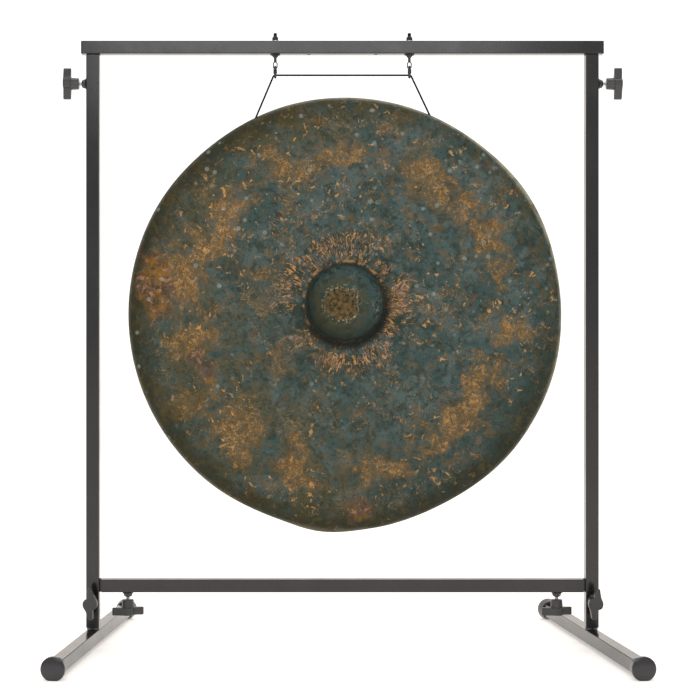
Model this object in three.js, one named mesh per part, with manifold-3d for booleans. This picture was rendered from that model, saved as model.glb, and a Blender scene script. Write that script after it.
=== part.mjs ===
// Gong stand: a knock-down frame of square steel tube, with a large bossed gong hung from it.
// Millimetres, +Z up, the front faces -Y. The origin is on the floor, midway between the feet.

import * as THREE from 'three';
import { mergeVertices } from 'three/addons/utils/BufferGeometryUtils.js';
import Module from 'manifold-3d';

const wasm = await Module();
wasm.setup();

// Square tube, the same section for the whole frame
const tubeWidth = 28;
const tubeWall = 1.5;
const tubeCorner = 2;
const sleeveGap = 0.3;
const weldGap = 0.3;

// Frame: the room left round the gong sets its width and height
const gongSideGap = 55.2;
const gongUnderGap = 103.1;
const crossbarOverhang = 11;
const spigotLength = 330;
const barHeight = 90;
const barStubLength = 90;
const barEndGap = 4.8;
const barWeldHeight = 2.6;
const seatWeldHeight = 1.8;
const seamWeldWidth = 27.2;
const plugHead = 2.5;
const plugDepth = 14;

// Feet
const footLength = 724;
const footToeOutDegrees = { left: 5.6, right: 6.8 };
const footStubLength = 104;
const collarWidth = 27.6;
const collarHeight = 6.1;
const capDiameter = 49;
const capNeckDiameter = 42;
const capLength = 30;
const capEnd = 5;
const capDome = 5;
const capStraight = 12;
const footAxisHeight = 22.5;

// Clamps: a weld nut on the tube and a wing screw through it
const clampFromEnd = 61;
const footClampRise = 57.7;
const screwDiameter = 8;
const screwGap = 0.3;
const screwChamfer = 1;
const screwInKnob = 12;
const nutFlats = 16;
const nutHeight = 10;
const nutChamfer = 2.2;
const weldHalfLength = 14.5;
const weldNeckLength = 11;
const weldNeckHeight = 2.6;
const weldHalfWidth = 11;
const weldHeight = 6;
const wingSpan = 68;
const wingWidth = 31;
const wingThickness = 16.5;
const wingBevel = 1.4;
const hubDiameter = 26.4;
const hubEndDiameter = 24.4;
const hubLength = 17;
const hubChamfer = 1.4;
const upperStandOff = { left: 6.6, right: 8 };
const footStandOff = 4;
const barStandOff = 6.5;
const footTurnDegrees = { left: 0, right: -10 };
const barTurnDegrees = { left: -15, right: -15 };

// Eye bolts in the crossbar, and the spare holes between them
const eyeSpacing = 290;
const spareHoleSpacing = 145;
const boltDiameter = 8;
const boltGap = 0.3;
const boltTip = 8;
const boltChamfer = 1;
const lockNutFlats = 13;
const lockNutHeight = 8;
const lockNutCollar = 2.6;
const lockNutCrown = 5.4;
const topWasherDiameter = 16;
const lowerWasherDiameter = 21.5;
const washerThickness = 1.6;
const collarConeDiameter = 14;
const collarConeHeight = 5.5;
const eyeNeckDiameter = 6;
const eyeWire = 2.4;
const eyeDrop = 15.2;
const eyeHoleHeight = 12;

// Snap hooks between the eye bolts and the cord
const hookWire = 5;
const hookGap = 0.3;
const hookTopRadius = 7;
const hookBottomRadius = 6;
const hookLength = 28;
const gateWall = 1;
const gateGap = 0.4;
const gateDepth = 5.4;
const gatePin = 1.6;
const gatePinRise = 2.3;
const gatePinEdge = 0.4;
const gateOverlap = 1.8;
const gateBackGap = 0.8;
const noseDrop = 1;
const wireEndOverPin = 1.4;

// Cord and gong
const cordDiameter = 4;
const cordGap = 0.3;
const knotDiameter = 10;
const gongHangHeight = 42;
const gongShift = 5.5;
const gongRadius = 469.3;
const gongWall = 3;
const gongFaceFront = 19.5;
const gongShoulder = 30;
const gongRimDepth = 136;
const gongRimInset = 44;
const gongDome = 12;
const domeMiddleShare = 0.62;
const bossRadius = 84;
const bossHeight = 64;
const bossLift = 23;
const liftStartShare = 0.25;
const liftEndShare = 0.92;
const bossFoot = 7;
const leftHoleDegrees = 24.4;
const rightHoleDegrees = 23.1;
const cordHoleGap = 0.6;
const knotGap = 2.6;
const knotRings = 8;
const drillReach = 12;

// Facets
const roundSides = 20;
const smallSides = 12;
const capSides = 24;
const wireSides = 8;
const cordSides = 6;
const gongSides = 64;
const cornerSteps = 1;
const hookSteps = 10;
const bendSteps = 5;
const overrun = 1;

// Sizes that follow from the ones above
const tubeBore = tubeWidth - 2 * tubeWall;
const spigotWidth = tubeBore - 2 * sleeveGap;
const boreCorner = tubeCorner - tubeWall;
const spigotCorner = boreCorner;
const seatGap = seatWeldHeight + 2 * weldGap;
const uprightX = gongRadius + gongSideGap + tubeWidth / 2;
const crossbarLength = 2 * (uprightX + tubeWidth / 2 + crossbarOverhang);
const hangerHeight = washerThickness + 2 * boltGap + eyeDrop + eyeHoleHeight - hookGap + hookLength - 1.5 * hookWire;
const gongRoom = gongUnderGap + 2 * gongRadius + gongHangHeight;
const uprightLength = barHeight + tubeWidth / 2 + gongRoom + hangerHeight - seatGap;
const uprightBase = footAxisHeight + tubeWidth / 2 + collarHeight + weldGap;
const uprightTop = uprightBase + uprightLength;
const crossbarBottom = uprightTop + seatGap;
const crossbarTop = crossbarBottom + tubeWidth;
const crossbarAxis = crossbarBottom + tubeWidth / 2;
const barAxis = uprightBase + barHeight;
const barLength = 2 * uprightX - tubeWidth - 2 * barEndGap;
const upperClampZ = uprightTop - clampFromEnd;
const footClampZ = uprightBase + footClampRise;
const barClampX = uprightX - tubeWidth / 2 - clampFromEnd;
const clampHole = screwDiameter + 2 * screwGap;
const nutCorners = nutFlats / Math.cos(Math.PI / 6);
const boltHole = boltDiameter + 2 * boltGap;
const eyeX = eyeSpacing / 2;
const spareX = spareHoleSpacing / 2;
const eyeHoleWidth = hookWire + 2 * hookGap;
const collarConeTop = crossbarBottom - washerThickness - 2 * boltGap;
const eyeTop = collarConeTop - eyeDrop;
const eyeSeat = eyeTop - eyeHoleHeight;
const hookTopAxis = eyeSeat + hookGap + hookWire / 2;
const hookTopCentre = hookTopAxis - hookTopRadius;
const hookBottomAxis = hookTopAxis - hookLength + hookWire;
const hookBottomCentre = hookBottomAxis + hookBottomRadius;
const cordBend = hookWire / 2 + cordGap + cordDiameter / 2;
const gongZ = hookBottomAxis - gongHangHeight - gongRadius;
const gatePinY = -hookBottomRadius;
const gatePinZ = hookBottomCentre + gatePinRise;
const gateWidth = hookWire + 2 * gateGap + 2 * gateWall;
const noseY = -hookTopRadius;
const noseZ = hookTopCentre - noseDrop;

const blackPaint = () => new THREE.MeshStandardMaterial({ color: 0x101011, roughness: 0.22, metalness: 0 });
const zincSteel = () => new THREE.MeshStandardMaterial({ color: 0xb9bab6, roughness: 0.35, metalness: 1 });
const darkZinc = () => new THREE.MeshStandardMaterial({ color: 0x4a4a48, roughness: 0.4, metalness: 1 });
const blackPlastic = () => new THREE.MeshStandardMaterial({ color: 0x1c1c1d, roughness: 0.45, metalness: 0 });
const capPlastic = () => new THREE.MeshStandardMaterial({ color: 0x18181a, roughness: 0.35, metalness: 0 });
const cordFabric = () => new THREE.MeshStandardMaterial({ color: 0x121212, roughness: 0.9, metalness: 0 });
const patinaBronze = () => new THREE.MeshStandardMaterial({ color: 0x3f4a42, roughness: 0.55, metalness: 0.5 });

// A closed mesh as a solid, and back, for the cuts and joins
function toSolid(geometry) {
  const bare = geometry.index ? geometry.toNonIndexed() : geometry.clone();
  bare.deleteAttribute('normal');
  bare.deleteAttribute('uv');
  const welded = mergeVertices(bare, 1e-4);
  const vertProperties = new Float32Array(welded.attributes.position.array);
  const triVerts = new Uint32Array(welded.index.array);
  return new wasm.Manifold(new wasm.Mesh({ numProp: 3, vertProperties, triVerts }));
}

function toGeometry(solid) {
  const { vertProperties, triVerts } = solid.getMesh();
  const geometry = new THREE.BufferGeometry();
  geometry.setAttribute('position', new THREE.BufferAttribute(new Float32Array(vertProperties), 3));
  geometry.setIndex(new THREE.BufferAttribute(new Uint32Array(triVerts), 1));
  geometry.computeVertexNormals();
  return geometry;
}

function cut(body, ...tools) {
  return toGeometry(tools.reduce((solid, tool) => solid.subtract(toSolid(tool)), toSolid(body)));
}

function join(body, ...others) {
  return toGeometry(others.reduce((solid, other) => solid.add(toSolid(other)), toSolid(body)));
}

function keepCommon(body, other) {
  return toGeometry(toSolid(body).intersect(toSolid(other)));
}

function piece(name, geometry, material, position = [0, 0, 0], rotation = [0, 0, 0]) {
  const mesh = new THREE.Mesh(geometry, material);
  mesh.name = name;
  mesh.position.set(...position);
  mesh.rotation.set(...rotation);
  return mesh;
}

// A solid turned about the Z axis from (radius, height) points
function turned(points, sides = roundSides) {
  const profile = points.map(([radius, height]) => new THREE.Vector2(radius, height));
  return new THREE.LatheGeometry(profile, sides).rotateX(Math.PI / 2);
}

function rod(radius, bottom, top, sides = roundSides) {
  return turned([[0, bottom], [radius, bottom], [radius, top], [0, top]], sides);
}

function roundTube(bore, radius, height) {
  return turned([[bore, 0], [radius, 0], [radius, height], [bore, height], [bore, 0]]);
}

function roundedSquare(width, corner, Path = THREE.Shape) {
  const half = width / 2;
  const inner = half - corner;
  const path = new Path();
  path.moveTo(half, -inner);
  path.absarc(inner, inner, corner, 0, Math.PI / 2);
  path.absarc(-inner, inner, corner, Math.PI / 2, Math.PI);
  path.absarc(-inner, -inner, corner, Math.PI, 1.5 * Math.PI);
  path.absarc(inner, -inner, corner, 1.5 * Math.PI, 2 * Math.PI);
  return path;
}

// A square tube along Z, from 0 to its length
function squareTube(length, width, corner, bore, boreRound) {
  const section = roundedSquare(width, corner);
  section.holes.push(roundedSquare(bore, boreRound, THREE.Path));
  return new THREE.ExtrudeGeometry(section, { depth: length, bevelEnabled: false, curveSegments: cornerSteps });
}

function squareBar(length, width, corner) {
  const section = roundedSquare(width, corner);
  return new THREE.ExtrudeGeometry(section, { depth: length, bevelEnabled: false, curveSegments: cornerSteps });
}

// A wire swept through a list of points, with flat ends, or joined to itself
function sweptWire(points, radius, sides, closed = false) {
  const count = points.length;
  const at = (index) => points[closed ? (index + count) % count : THREE.MathUtils.clamp(index, 0, count - 1)];
  const along = (index) => at(index + 1).clone().sub(at(index - 1)).normalize();
  const across = new THREE.Vector3(0, 0, 1).cross(along(0));
  if (across.length() < Math.SQRT1_2) across.set(1, 0, 0).cross(along(0));
  const positions = [];
  for (let index = 0; index < count; index += 1) {
    const forward = along(index);
    across.addScaledVector(forward, -across.dot(forward)).normalize();
    const up = forward.cross(across);
    for (let side = 0; side < sides; side += 1) {
      const angle = (2 * Math.PI * side) / sides;
      const spot = at(index).clone()
        .addScaledVector(across, radius * Math.cos(angle))
        .addScaledVector(up, radius * Math.sin(angle));
      positions.push(spot.x, spot.y, spot.z);
    }
  }
  const indices = [];
  const spans = closed ? count : count - 1;
  for (let ring = 0; ring < spans; ring += 1) {
    for (let side = 0; side < sides; side += 1) {
      const [here, beside] = [side, (side + 1) % sides].map((place) => ring * sides + place);
      const [there, beyond] = [side, (side + 1) % sides].map((place) => ((ring + 1) % count) * sides + place);
      indices.push(here, beside, beyond, here, beyond, there);
    }
  }
  const last = (count - 1) * sides;
  for (let side = 1; side < sides - 1 && !closed; side += 1) {
    indices.push(0, side + 1, side, last, last + side, last + side + 1);
  }
  const geometry = new THREE.BufferGeometry();
  geometry.setAttribute('position', new THREE.Float32BufferAttribute(positions, 3));
  geometry.setIndex(indices);
  geometry.computeVertexNormals();
  return geometry;
}

// Points of an arc in the plane of two unit directions, from one angle to another in degrees
function arcPoints(centre, first, second, radius, from, to, steps) {
  return Array.from({ length: steps + 1 }, (_, step) => {
    const angle = THREE.MathUtils.degToRad(from + ((to - from) * step) / steps);
    return centre.clone()
      .addScaledVector(first, radius * Math.cos(angle))
      .addScaledVector(second, radius * Math.sin(angle));
  });
}

// Frame: uprights with their screw holes, a lower bar sleeved over two welded stubs
function uprightGeometry(side) {
  const tube = squareTube(uprightLength, tubeWidth, tubeCorner, tubeBore, boreCorner);
  const sideHole = rod(clampHole / 2, 0, tubeWidth, smallSides)
    .rotateY((side * Math.PI) / 2)
    .translate(0, 0, uprightLength - clampFromEnd);
  const frontHole = rod(clampHole / 2, 0, tubeWidth, smallSides)
    .rotateX(Math.PI / 2)
    .translate(0, 0, footClampRise);
  return cut(tube, sideHole, frontHole);
}

function lowerBarGeometry() {
  const tube = squareTube(barLength, tubeWidth, tubeCorner, tubeBore, boreCorner);
  const holes = [-1, 1].map((side) => rod(clampHole / 2, -tubeWidth, 0, smallSides)
    .translate(side * barClampX, 0, 0));
  return cut(tube.translate(0, 0, -barLength / 2).rotateY(Math.PI / 2), ...holes);
}

function barStubGeometry() {
  return squareTube(barStubLength, spigotWidth, spigotCorner, spigotWidth - 2 * tubeWall, boreCorner / 2);
}

// Crossbar with its bolt holes, two plugs and the spigots that slide in the uprights
function crossbarGeometry() {
  const length = crossbarLength - 2 * plugHead - 2 * weldGap;
  const tube = squareTube(length, tubeWidth, tubeCorner, tubeBore, boreCorner);
  const drilled = [-eyeX, -spareX, spareX, eyeX].map((x) => rod(boltHole / 2, -tubeWidth, tubeWidth, smallSides)
    .translate(x, 0, 0));
  return cut(tube.translate(0, 0, -length / 2).rotateY(Math.PI / 2), ...drilled);
}

function plugGeometry() {
  const head = squareBar(plugHead, tubeWidth, tubeCorner);
  const body = squareBar(plugDepth + overrun, spigotWidth, spigotCorner).translate(0, 0, -plugDepth);
  const hollow = squareBar(plugDepth, spigotWidth - 2 * tubeWall, boreCorner / 2)
    .translate(0, 0, -plugDepth - overrun);
  return cut(join(head, body), hollow);
}

function spigotGeometry() {
  return squareTube(spigotLength, spigotWidth, spigotCorner, spigotWidth - 2 * tubeWall, boreCorner / 2);
}

// The weld round the foot of a spigot or a bar stub, where it meets its tube
function seamWeldGeometry(height) {
  return squareTube(height, seamWeldWidth, tubeCorner, spigotWidth + 2 * weldGap, spigotCorner);
}

// Feet: a square tube, a round stub for the upright to turn on, and a cap at each end
function footTubeGeometry() {
  const length = footLength - 2 * (capEnd + sleeveGap);
  const tube = squareTube(length, tubeWidth, tubeCorner, tubeBore, boreCorner);
  return tube.translate(0, 0, -length / 2).rotateX(Math.PI / 2);
}

// The round stub that the upright turns on
function footStubGeometry() {
  return roundTube(spigotWidth / 2 - tubeWall, spigotWidth / 2, footStubLength);
}

// The collar round the stub's base, which carries the upright
function footCollarGeometry() {
  return roundTube(spigotWidth / 2 + weldGap, collarWidth / 2, collarHeight - weldGap);
}

const capDomeDegrees = [25, 50, 72, 90];

// The domed outer end starts at 0 and the neck is towards +Z, with the pocket that takes the tube
function footCapGeometry() {
  const radius = capDiameter / 2;
  const dome = capDomeDegrees.map((degrees) => {
    const angle = THREE.MathUtils.degToRad(degrees);
    return [radius * Math.sin(angle), capDome * (1 - Math.cos(angle))];
  });
  const body = turned([
    [0, 0], ...dome, [radius, capStraight], [capNeckDiameter / 2, capLength], [0, capLength],
  ], capSides);
  const pocket = squareBar(capLength, tubeWidth + 2 * sleeveGap, tubeCorner).translate(0, 0, capEnd);
  const ground = new THREE.BoxGeometry(2 * capDiameter, capDiameter, 3 * capLength)
    .translate(0, -footAxisHeight - capDiameter / 2, 0);
  return cut(body, pocket, ground);
}

// Weld nut standing on a tube face at 0, its weld drawn out along Y
function weldNutGeometry() {
  const hexagon = rod(nutCorners / 2, 0, nutHeight, 6);
  const chamfer = turned([
    [0, -overrun], [nutCorners, -overrun], [nutCorners, nutHeight - nutCorners / 2 - nutChamfer],
    [nutCorners / 2 - nutChamfer, nutHeight], [0, nutHeight],
  ]);
  const weld = turned([
    [0, 0], [weldHalfLength, 0], [weldNeckLength, weldNeckHeight], [nutCorners / 2, weldHeight], [0, weldHeight],
  ]).scale(weldHalfWidth / weldHalfLength, 1, 1);
  const nut = keepCommon(hexagon, chamfer);
  return cut(join(nut, weld), rod(clampHole / 2, -overrun, nutHeight + overrun, smallSides));
}

// Half of the wing outline, as shares of half the width across and half the span; the rest is its half turn
const wingShares = [
  [1, 0], [0.97, 0.13], [0.83, 0.265], [0.58, 0.455], [0.335, 0.75], [0.23, 0.91], [0.08, 0.985], [-0.1, 1],
  [-0.28, 0.98], [-0.38, 0.91], [-0.4, 0.765], [-0.39, 0.425], [-0.5, 0.325], [-0.8, 0.245], [-0.97, 0.13],
];

// Wing knob on the Z axis: the hub starts at 0, the wings end the knob
function wingKnobGeometry() {
  const upper = wingShares.map(([x, y]) => new THREE.Vector2((x * wingWidth) / 2, (y * wingSpan) / 2));
  const outline = new THREE.Shape([...upper, ...upper.map((point) => point.clone().negate())]);
  const wings = new THREE.ExtrudeGeometry(outline, {
    depth: wingThickness - 2 * wingBevel,
    bevelThickness: wingBevel,
    bevelSize: wingBevel,
    bevelOffset: -wingBevel,
    bevelSegments: 1,
  }).translate(0, 0, hubLength + wingBevel);
  const hub = turned([
    [0, 0], [hubEndDiameter / 2 - hubChamfer, 0], [hubEndDiameter / 2, hubChamfer],
    [hubDiameter / 2, hubLength], [hubDiameter / 2, hubLength + wingBevel], [0, hubLength + wingBevel],
  ]);
  return cut(join(wings, hub), rod(clampHole / 2, -overrun, screwInKnob + screwGap, smallSides));
}

// Threaded shank on the Z axis, from the knob's pocket at the top down to its tip
function screwShankGeometry(reach) {
  const radius = screwDiameter / 2;
  return turned([
    [0, -reach], [radius - screwChamfer, -reach], [radius, -reach + screwChamfer],
    [radius, screwInKnob], [0, screwInKnob],
  ], smallSides);
}

// Eye bolt on the Z axis, with 0 at the crossbar's underside
function eyeBoltGeometry() {
  const tip = tubeWidth + washerThickness + boltGap + lockNutHeight + boltGap + boltTip;
  const coneTop = collarConeTop - crossbarBottom;
  const coneBottom = coneTop - collarConeHeight;
  const ringTop = eyeTop - crossbarBottom;
  const shank = turned([
    [0, ringTop + eyeWire / 4], [eyeNeckDiameter / 2, ringTop + eyeWire], [eyeNeckDiameter / 2, coneBottom],
    [collarConeDiameter / 2, coneTop], [boltDiameter / 2, coneTop], [boltDiameter / 2, tip - boltChamfer],
    [boltDiameter / 2 - boltChamfer, tip], [0, tip],
  ]);
  const bend = (eyeHoleWidth + eyeWire) / 2;
  const across = new THREE.Vector3(1, 0, 0);
  const up = new THREE.Vector3(0, 0, 1);
  const upper = new THREE.Vector3(0, 0, ringTop + eyeWire / 2 - bend);
  const lower = new THREE.Vector3(0, 0, ringTop - eyeHoleHeight - eyeWire / 2 + bend);
  const eye = sweptWire([
    ...arcPoints(upper, across, up, bend, 0, 180, 8),
    ...arcPoints(lower, across, up, bend, 180, 360, 8),
  ], eyeWire / 2, wireSides, true);
  return join(shank, eye);
}

function washerGeometry(diameter) {
  const hole = rod(boltHole / 2, -overrun, washerThickness + overrun, smallSides);
  return cut(rod(diameter / 2, 0, washerThickness), hole);
}

// Lock nut: a chamfered hexagon with the round collar that holds its plastic ring
function lockNutGeometry() {
  const corners = lockNutFlats / Math.cos(Math.PI / 6);
  const hexHeight = lockNutHeight - lockNutCollar;
  const collar = turned([
    [0, 0], [lockNutFlats / 2, 0], [lockNutFlats / 2, hexHeight], [lockNutCrown, lockNutHeight], [0, lockNutHeight],
  ]);
  const nut = join(rod(corners / 2, 0, hexHeight, 6), collar);
  return cut(nut, rod(boltHole / 2, -overrun, lockNutHeight + overrun, smallSides));
}

// Snap hook in the YZ plane: the wire runs from the gate's pin round the bottom, up the back and over the top
function snapHookGeometry() {
  const back = new THREE.Vector3(0, 1, 0);
  const up = new THREE.Vector3(0, 0, 1);
  const bottom = new THREE.Vector3(0, 0, hookBottomCentre);
  const top = new THREE.Vector3(0, 0, hookTopCentre);
  const wire = sweptWire([
    new THREE.Vector3(0, gatePinY, gatePinZ + wireEndOverPin),
    ...arcPoints(bottom, back, up, hookBottomRadius, 180, 360, hookSteps),
    ...arcPoints(top, back, up, hookTopRadius, 0, 180, hookSteps),
    new THREE.Vector3(0, noseY, noseZ),
  ], hookWire / 2, wireSides);
  const pinHole = rod(gatePin / 2 + hookGap, -hookWire, hookWire, smallSides)
    .rotateY(Math.PI / 2)
    .translate(0, gatePinY, gatePinZ);
  return cut(wire, pinHole);
}

// Gate: a folded channel, open to the front, with its rivet through the end of the wire
function gateGeometry() {
  const lean = Math.atan2(gatePinY - noseY, noseZ - gatePinZ);
  const bottom = -gatePin / 2 - gatePinEdge;
  const top = (noseZ - gatePinZ) / Math.cos(lean) + gateOverlap;
  const inside = hookWire / 2 + gateBackGap;
  const middle = (top + bottom) / 2;
  const channel = new THREE.BoxGeometry(gateWidth, gateDepth, top - bottom)
    .translate(0, inside + gateWall - gateDepth / 2, middle);
  const slot = new THREE.BoxGeometry(hookWire + 2 * gateGap, 2 * gateDepth, top - bottom + 2 * overrun)
    .translate(0, inside - gateDepth, middle);
  const pin = rod(gatePin / 2, (gateWall - gateWidth) / 2, (gateWidth - gateWall) / 2, smallSides)
    .rotateY(Math.PI / 2);
  return join(cut(channel, slot), pin).rotateX(lean).translate(0, gatePinY, gatePinZ);
}

// Where the boss, from its crown out, and the shoulder, from the face round, have their profile points
const bossDegrees = [0, 18, 36, 54, 70, 82];
const shoulderDegrees = [0, 25, 50, 75];

// Gong profile as (radius, depth behind the face), drawn inwards by a wall share of 0 outside and 1 inside
function gongSkin(inward) {
  const offset = inward * gongWall;
  const ellipse = (degrees) => {
    const angle = THREE.MathUtils.degToRad(degrees);
    return [
      (bossRadius - offset) * Math.sin(angle),
      -gongDome - (bossHeight - offset) * Math.cos(angle),
    ];
  };
  const shoulder = (degrees) => {
    const angle = THREE.MathUtils.degToRad(degrees);
    return [
      gongRadius - gongShoulder + (gongShoulder - offset) * Math.sin(angle),
      gongShoulder - (gongShoulder - offset) * Math.cos(angle),
    ];
  };
  return [
    ...bossDegrees.map(ellipse),
    [bossRadius + bossFoot * (1 - inward), offset - gongDome],
    [(bossRadius + gongRadius) / 2, offset - gongDome * domeMiddleShare],
    ...shoulderDegrees.map(shoulder),
    [gongRadius - offset, gongShoulder + offset / 2],
    [gongRadius - gongRimInset - offset, gongRimDepth],
  ];
}

// Places round the rim where the beaten edge swells or falls in, as degrees, degrees and shares of the radius
const rimLumpShares = [
  [32, 24, 0.0105], [128, 26, -0.0065], [247, 17, -0.005], [264, 13, 0.0115], [297, 26, -0.0125], [345, 20, 0.003],
];

// How far the rim swells, as a share of its radius, at an angle from +X
function rimLump(angle) {
  return rimLumpShares.reduce((sum, [place, width, share]) => {
    const turn = angle - THREE.MathUtils.degToRad(place);
    const away = Math.abs(Math.atan2(Math.sin(turn), Math.cos(turn))) / THREE.MathUtils.degToRad(width);
    return sum + (share * (1 + Math.cos(Math.PI * Math.min(away, 1)))) / 2;
  }, 0);
}

// The boss sits a little above the middle, and the beaten edge isn't quite round
function beat(geometry) {
  const position = geometry.attributes.position;
  for (let index = 0; index < position.count; index += 1) {
    const x = position.getX(index);
    const z = position.getZ(index);
    const share = Math.min(Math.hypot(x, z) / gongRadius, 1);
    const grown = 1 + rimLump(Math.atan2(z, x)) * share * share;
    const lift = bossLift * (1 - THREE.MathUtils.smoothstep(share, liftStartShare, liftEndShare));
    position.setX(index, x * grown);
    position.setZ(index, z * grown + lift);
  }
  return geometry;
}

function holeInRim(side) {
  const degrees = side < 0 ? leftHoleDegrees : rightHoleDegrees;
  const angle = THREE.MathUtils.degToRad(90 - side * degrees);
  const rise = Math.min(gongFaceFront / gongShoulder, 1) - 1;
  const round = gongRadius - gongShoulder * (1 - Math.sqrt(1 - rise * rise));
  const radius = round * (1 + rimLump(angle));
  return new THREE.Vector3(gongShift + radius * Math.cos(angle), 0, gongZ + radius * Math.sin(angle));
}

// One side of the cord: over the hook's lower wire and down to the rim, where it ends in a knot
function cordSide(side) {
  const centre = new THREE.Vector3(side * eyeX, 0, hookBottomAxis);
  const hole = holeInRim(side);
  const reach = hole.clone().sub(centre);
  const leaving = Math.atan2(reach.z, reach.x) + side * Math.acos(cordBend / reach.length());
  const degrees = THREE.MathUtils.euclideanModulo(THREE.MathUtils.radToDeg(leaving), 360);
  const across = new THREE.Vector3(1, 0, 0);
  const up = new THREE.Vector3(0, 0, 1);
  const bend = arcPoints(centre, across, up, cordBend, 90, degrees, bendSteps);
  const leave = bend[bend.length - 1];
  const direction = hole.clone().sub(leave).normalize();
  const inwards = new THREE.Vector3(gongShift, 0, gongZ).sub(hole).normalize();
  const depth = gongWall + knotDiameter / 2 + knotGap;
  const knot = hole.clone().addScaledVector(direction, depth / direction.dot(inwards));
  return { bend, hole, direction, knot, half: leave.clone().lerp(hole, 0.5) };
}

// The cord from knot to knot, over both hooks
function cordGeometry() {
  const left = cordSide(-1);
  const right = cordSide(1);
  const cord = sweptWire([
    left.knot, left.hole, left.half, ...left.bend.slice().reverse(),
    ...right.bend, right.half, right.hole, right.knot,
  ], cordDiameter / 2, cordSides);
  const knots = [left, right].map(({ knot }) => new THREE.SphereGeometry(knotDiameter / 2, smallSides, knotRings)
    .translate(knot.x, knot.y, knot.z));
  return join(cord, ...knots);
}

// Gong: a beaten shell with its rim turned back, and two holes in the rim for the cord
function gongGeometry() {
  const profile = [...gongSkin(0), ...gongSkin(1).reverse()];
  const shell = beat(turned(profile, gongSides).rotateX(-Math.PI / 2));
  const holes = [-1, 1].map((side) => {
    const { hole, direction } = cordSide(side);
    const turn = new THREE.Quaternion().setFromUnitVectors(new THREE.Vector3(0, 0, 1), direction);
    return rod(cordDiameter / 2 + cordHoleGap, -drillReach, drillReach, smallSides)
      .applyQuaternion(turn)
      .translate(hole.x, hole.y, hole.z);
  });
  return cut(shell.translate(gongShift, -gongFaceFront, gongZ), ...holes);
}

// A turn that points local Z out of a face and local Y along the tube
function facing(outward, along) {
  const z = new THREE.Vector3(...outward);
  const y = new THREE.Vector3(...along);
  const x = y.clone().cross(z);
  return new THREE.Quaternion().setFromRotationMatrix(new THREE.Matrix4().makeBasis(x, y, z));
}

// A clamp at a tube face: the weld nut, and the wing screw whose tip stops at the tube's inside
function clamp(name, standOff, turnDegrees, position, outward, along) {
  const group = new THREE.Group();
  const knobStart = weldGap + nutHeight + standOff;
  const turn = [0, 0, THREE.MathUtils.degToRad(turnDegrees)];
  group.add(piece(`${name}_weld_nut`, weldNutGeometry(), blackPaint(), [0, 0, weldGap]));
  group.add(piece(`${name}_knob`, wingKnobGeometry(), blackPlastic(), [0, 0, knobStart], turn));
  group.add(piece(`${name}_screw`, screwShankGeometry(knobStart + tubeWall), zincSteel(), [0, 0, knobStart]));
  group.position.set(...position);
  group.quaternion.copy(facing(outward, along));
  return group;
}

function foot(name, side) {
  const group = new THREE.Group();
  const stubBase = tubeWidth / 2 + weldGap;
  group.position.set(side * uprightX, 0, footAxisHeight);
  group.rotation.z = side * THREE.MathUtils.degToRad(footToeOutDegrees[name]);
  group.add(piece(`foot_tube_${name}`, footTubeGeometry(), blackPaint()));
  group.add(piece(`foot_stub_${name}`, footStubGeometry(), blackPaint(), [0, 0, stubBase]));
  group.add(piece(`foot_collar_${name}`, footCollarGeometry(), blackPaint(), [0, 0, stubBase]));
  for (const [end, direction] of [['front', -1], ['back', 1]]) {
    const cap = piece(`foot_cap_${name}_${end}`, footCapGeometry(), capPlastic(), [0, (direction * footLength) / 2, 0]);
    cap.quaternion.copy(facing([0, -direction, 0], [0, 0, 1]));
    group.add(cap);
  }
  return group;
}

function frameSide(name, side) {
  const group = new THREE.Group();
  const stubStart = [side * (uprightX - tubeWidth / 2 - weldGap), 0, barAxis];
  group.add(piece(`upright_${name}`, uprightGeometry(side), blackPaint(), [side * uprightX, 0, uprightBase]));
  for (const [start, geometry] of [['bar_stub', barStubGeometry()], ['bar_weld', seamWeldGeometry(barWeldHeight)]]) {
    group.add(piece(`${start}_${name}`, geometry, blackPaint(), stubStart, [0, (-side * Math.PI) / 2, 0]));
  }
  return group;
}

// What belongs to the crossbar on one side: spigot, end plug and eye bolt with its nut and washers
function crossbarSide(name, side) {
  const group = new THREE.Group();
  const plugX = side * (crossbarLength / 2 - plugHead);
  const topWasherZ = crossbarTop + boltGap;
  group.add(piece(`spigot_${name}`, spigotGeometry(), blackPaint(),
    [side * uprightX, 0, crossbarBottom - weldGap - spigotLength]));
  group.add(piece(`spigot_weld_${name}`, seamWeldGeometry(seatWeldHeight), blackPaint(),
    [side * uprightX, 0, crossbarBottom - weldGap - seatWeldHeight]));
  group.add(piece(`crossbar_plug_${name}`, plugGeometry(), capPlastic(), [plugX, 0, crossbarAxis],
    [0, (side * Math.PI) / 2, 0]));
  group.add(piece(`eye_bolt_${name}`, eyeBoltGeometry(), darkZinc(), [side * eyeX, 0, crossbarBottom]));
  group.add(piece(`lower_washer_${name}`, washerGeometry(lowerWasherDiameter), darkZinc(),
    [side * eyeX, 0, crossbarBottom - boltGap - washerThickness]));
  group.add(piece(`top_washer_${name}`, washerGeometry(topWasherDiameter), zincSteel(),
    [side * eyeX, 0, topWasherZ]));
  group.add(piece(`lock_nut_${name}`, lockNutGeometry(), darkZinc(),
    [side * eyeX, 0, topWasherZ + washerThickness + boltGap]));
  return group;
}

function hangerSide(name, side) {
  const group = new THREE.Group();
  group.add(piece(`snap_hook_${name}`, snapHookGeometry(), darkZinc(), [side * eyeX, 0, 0]));
  group.add(piece(`hook_gate_${name}`, gateGeometry(), darkZinc(), [side * eyeX, 0, 0]));
  return group;
}

const sides = [['left', -1], ['right', 1]];

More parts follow.
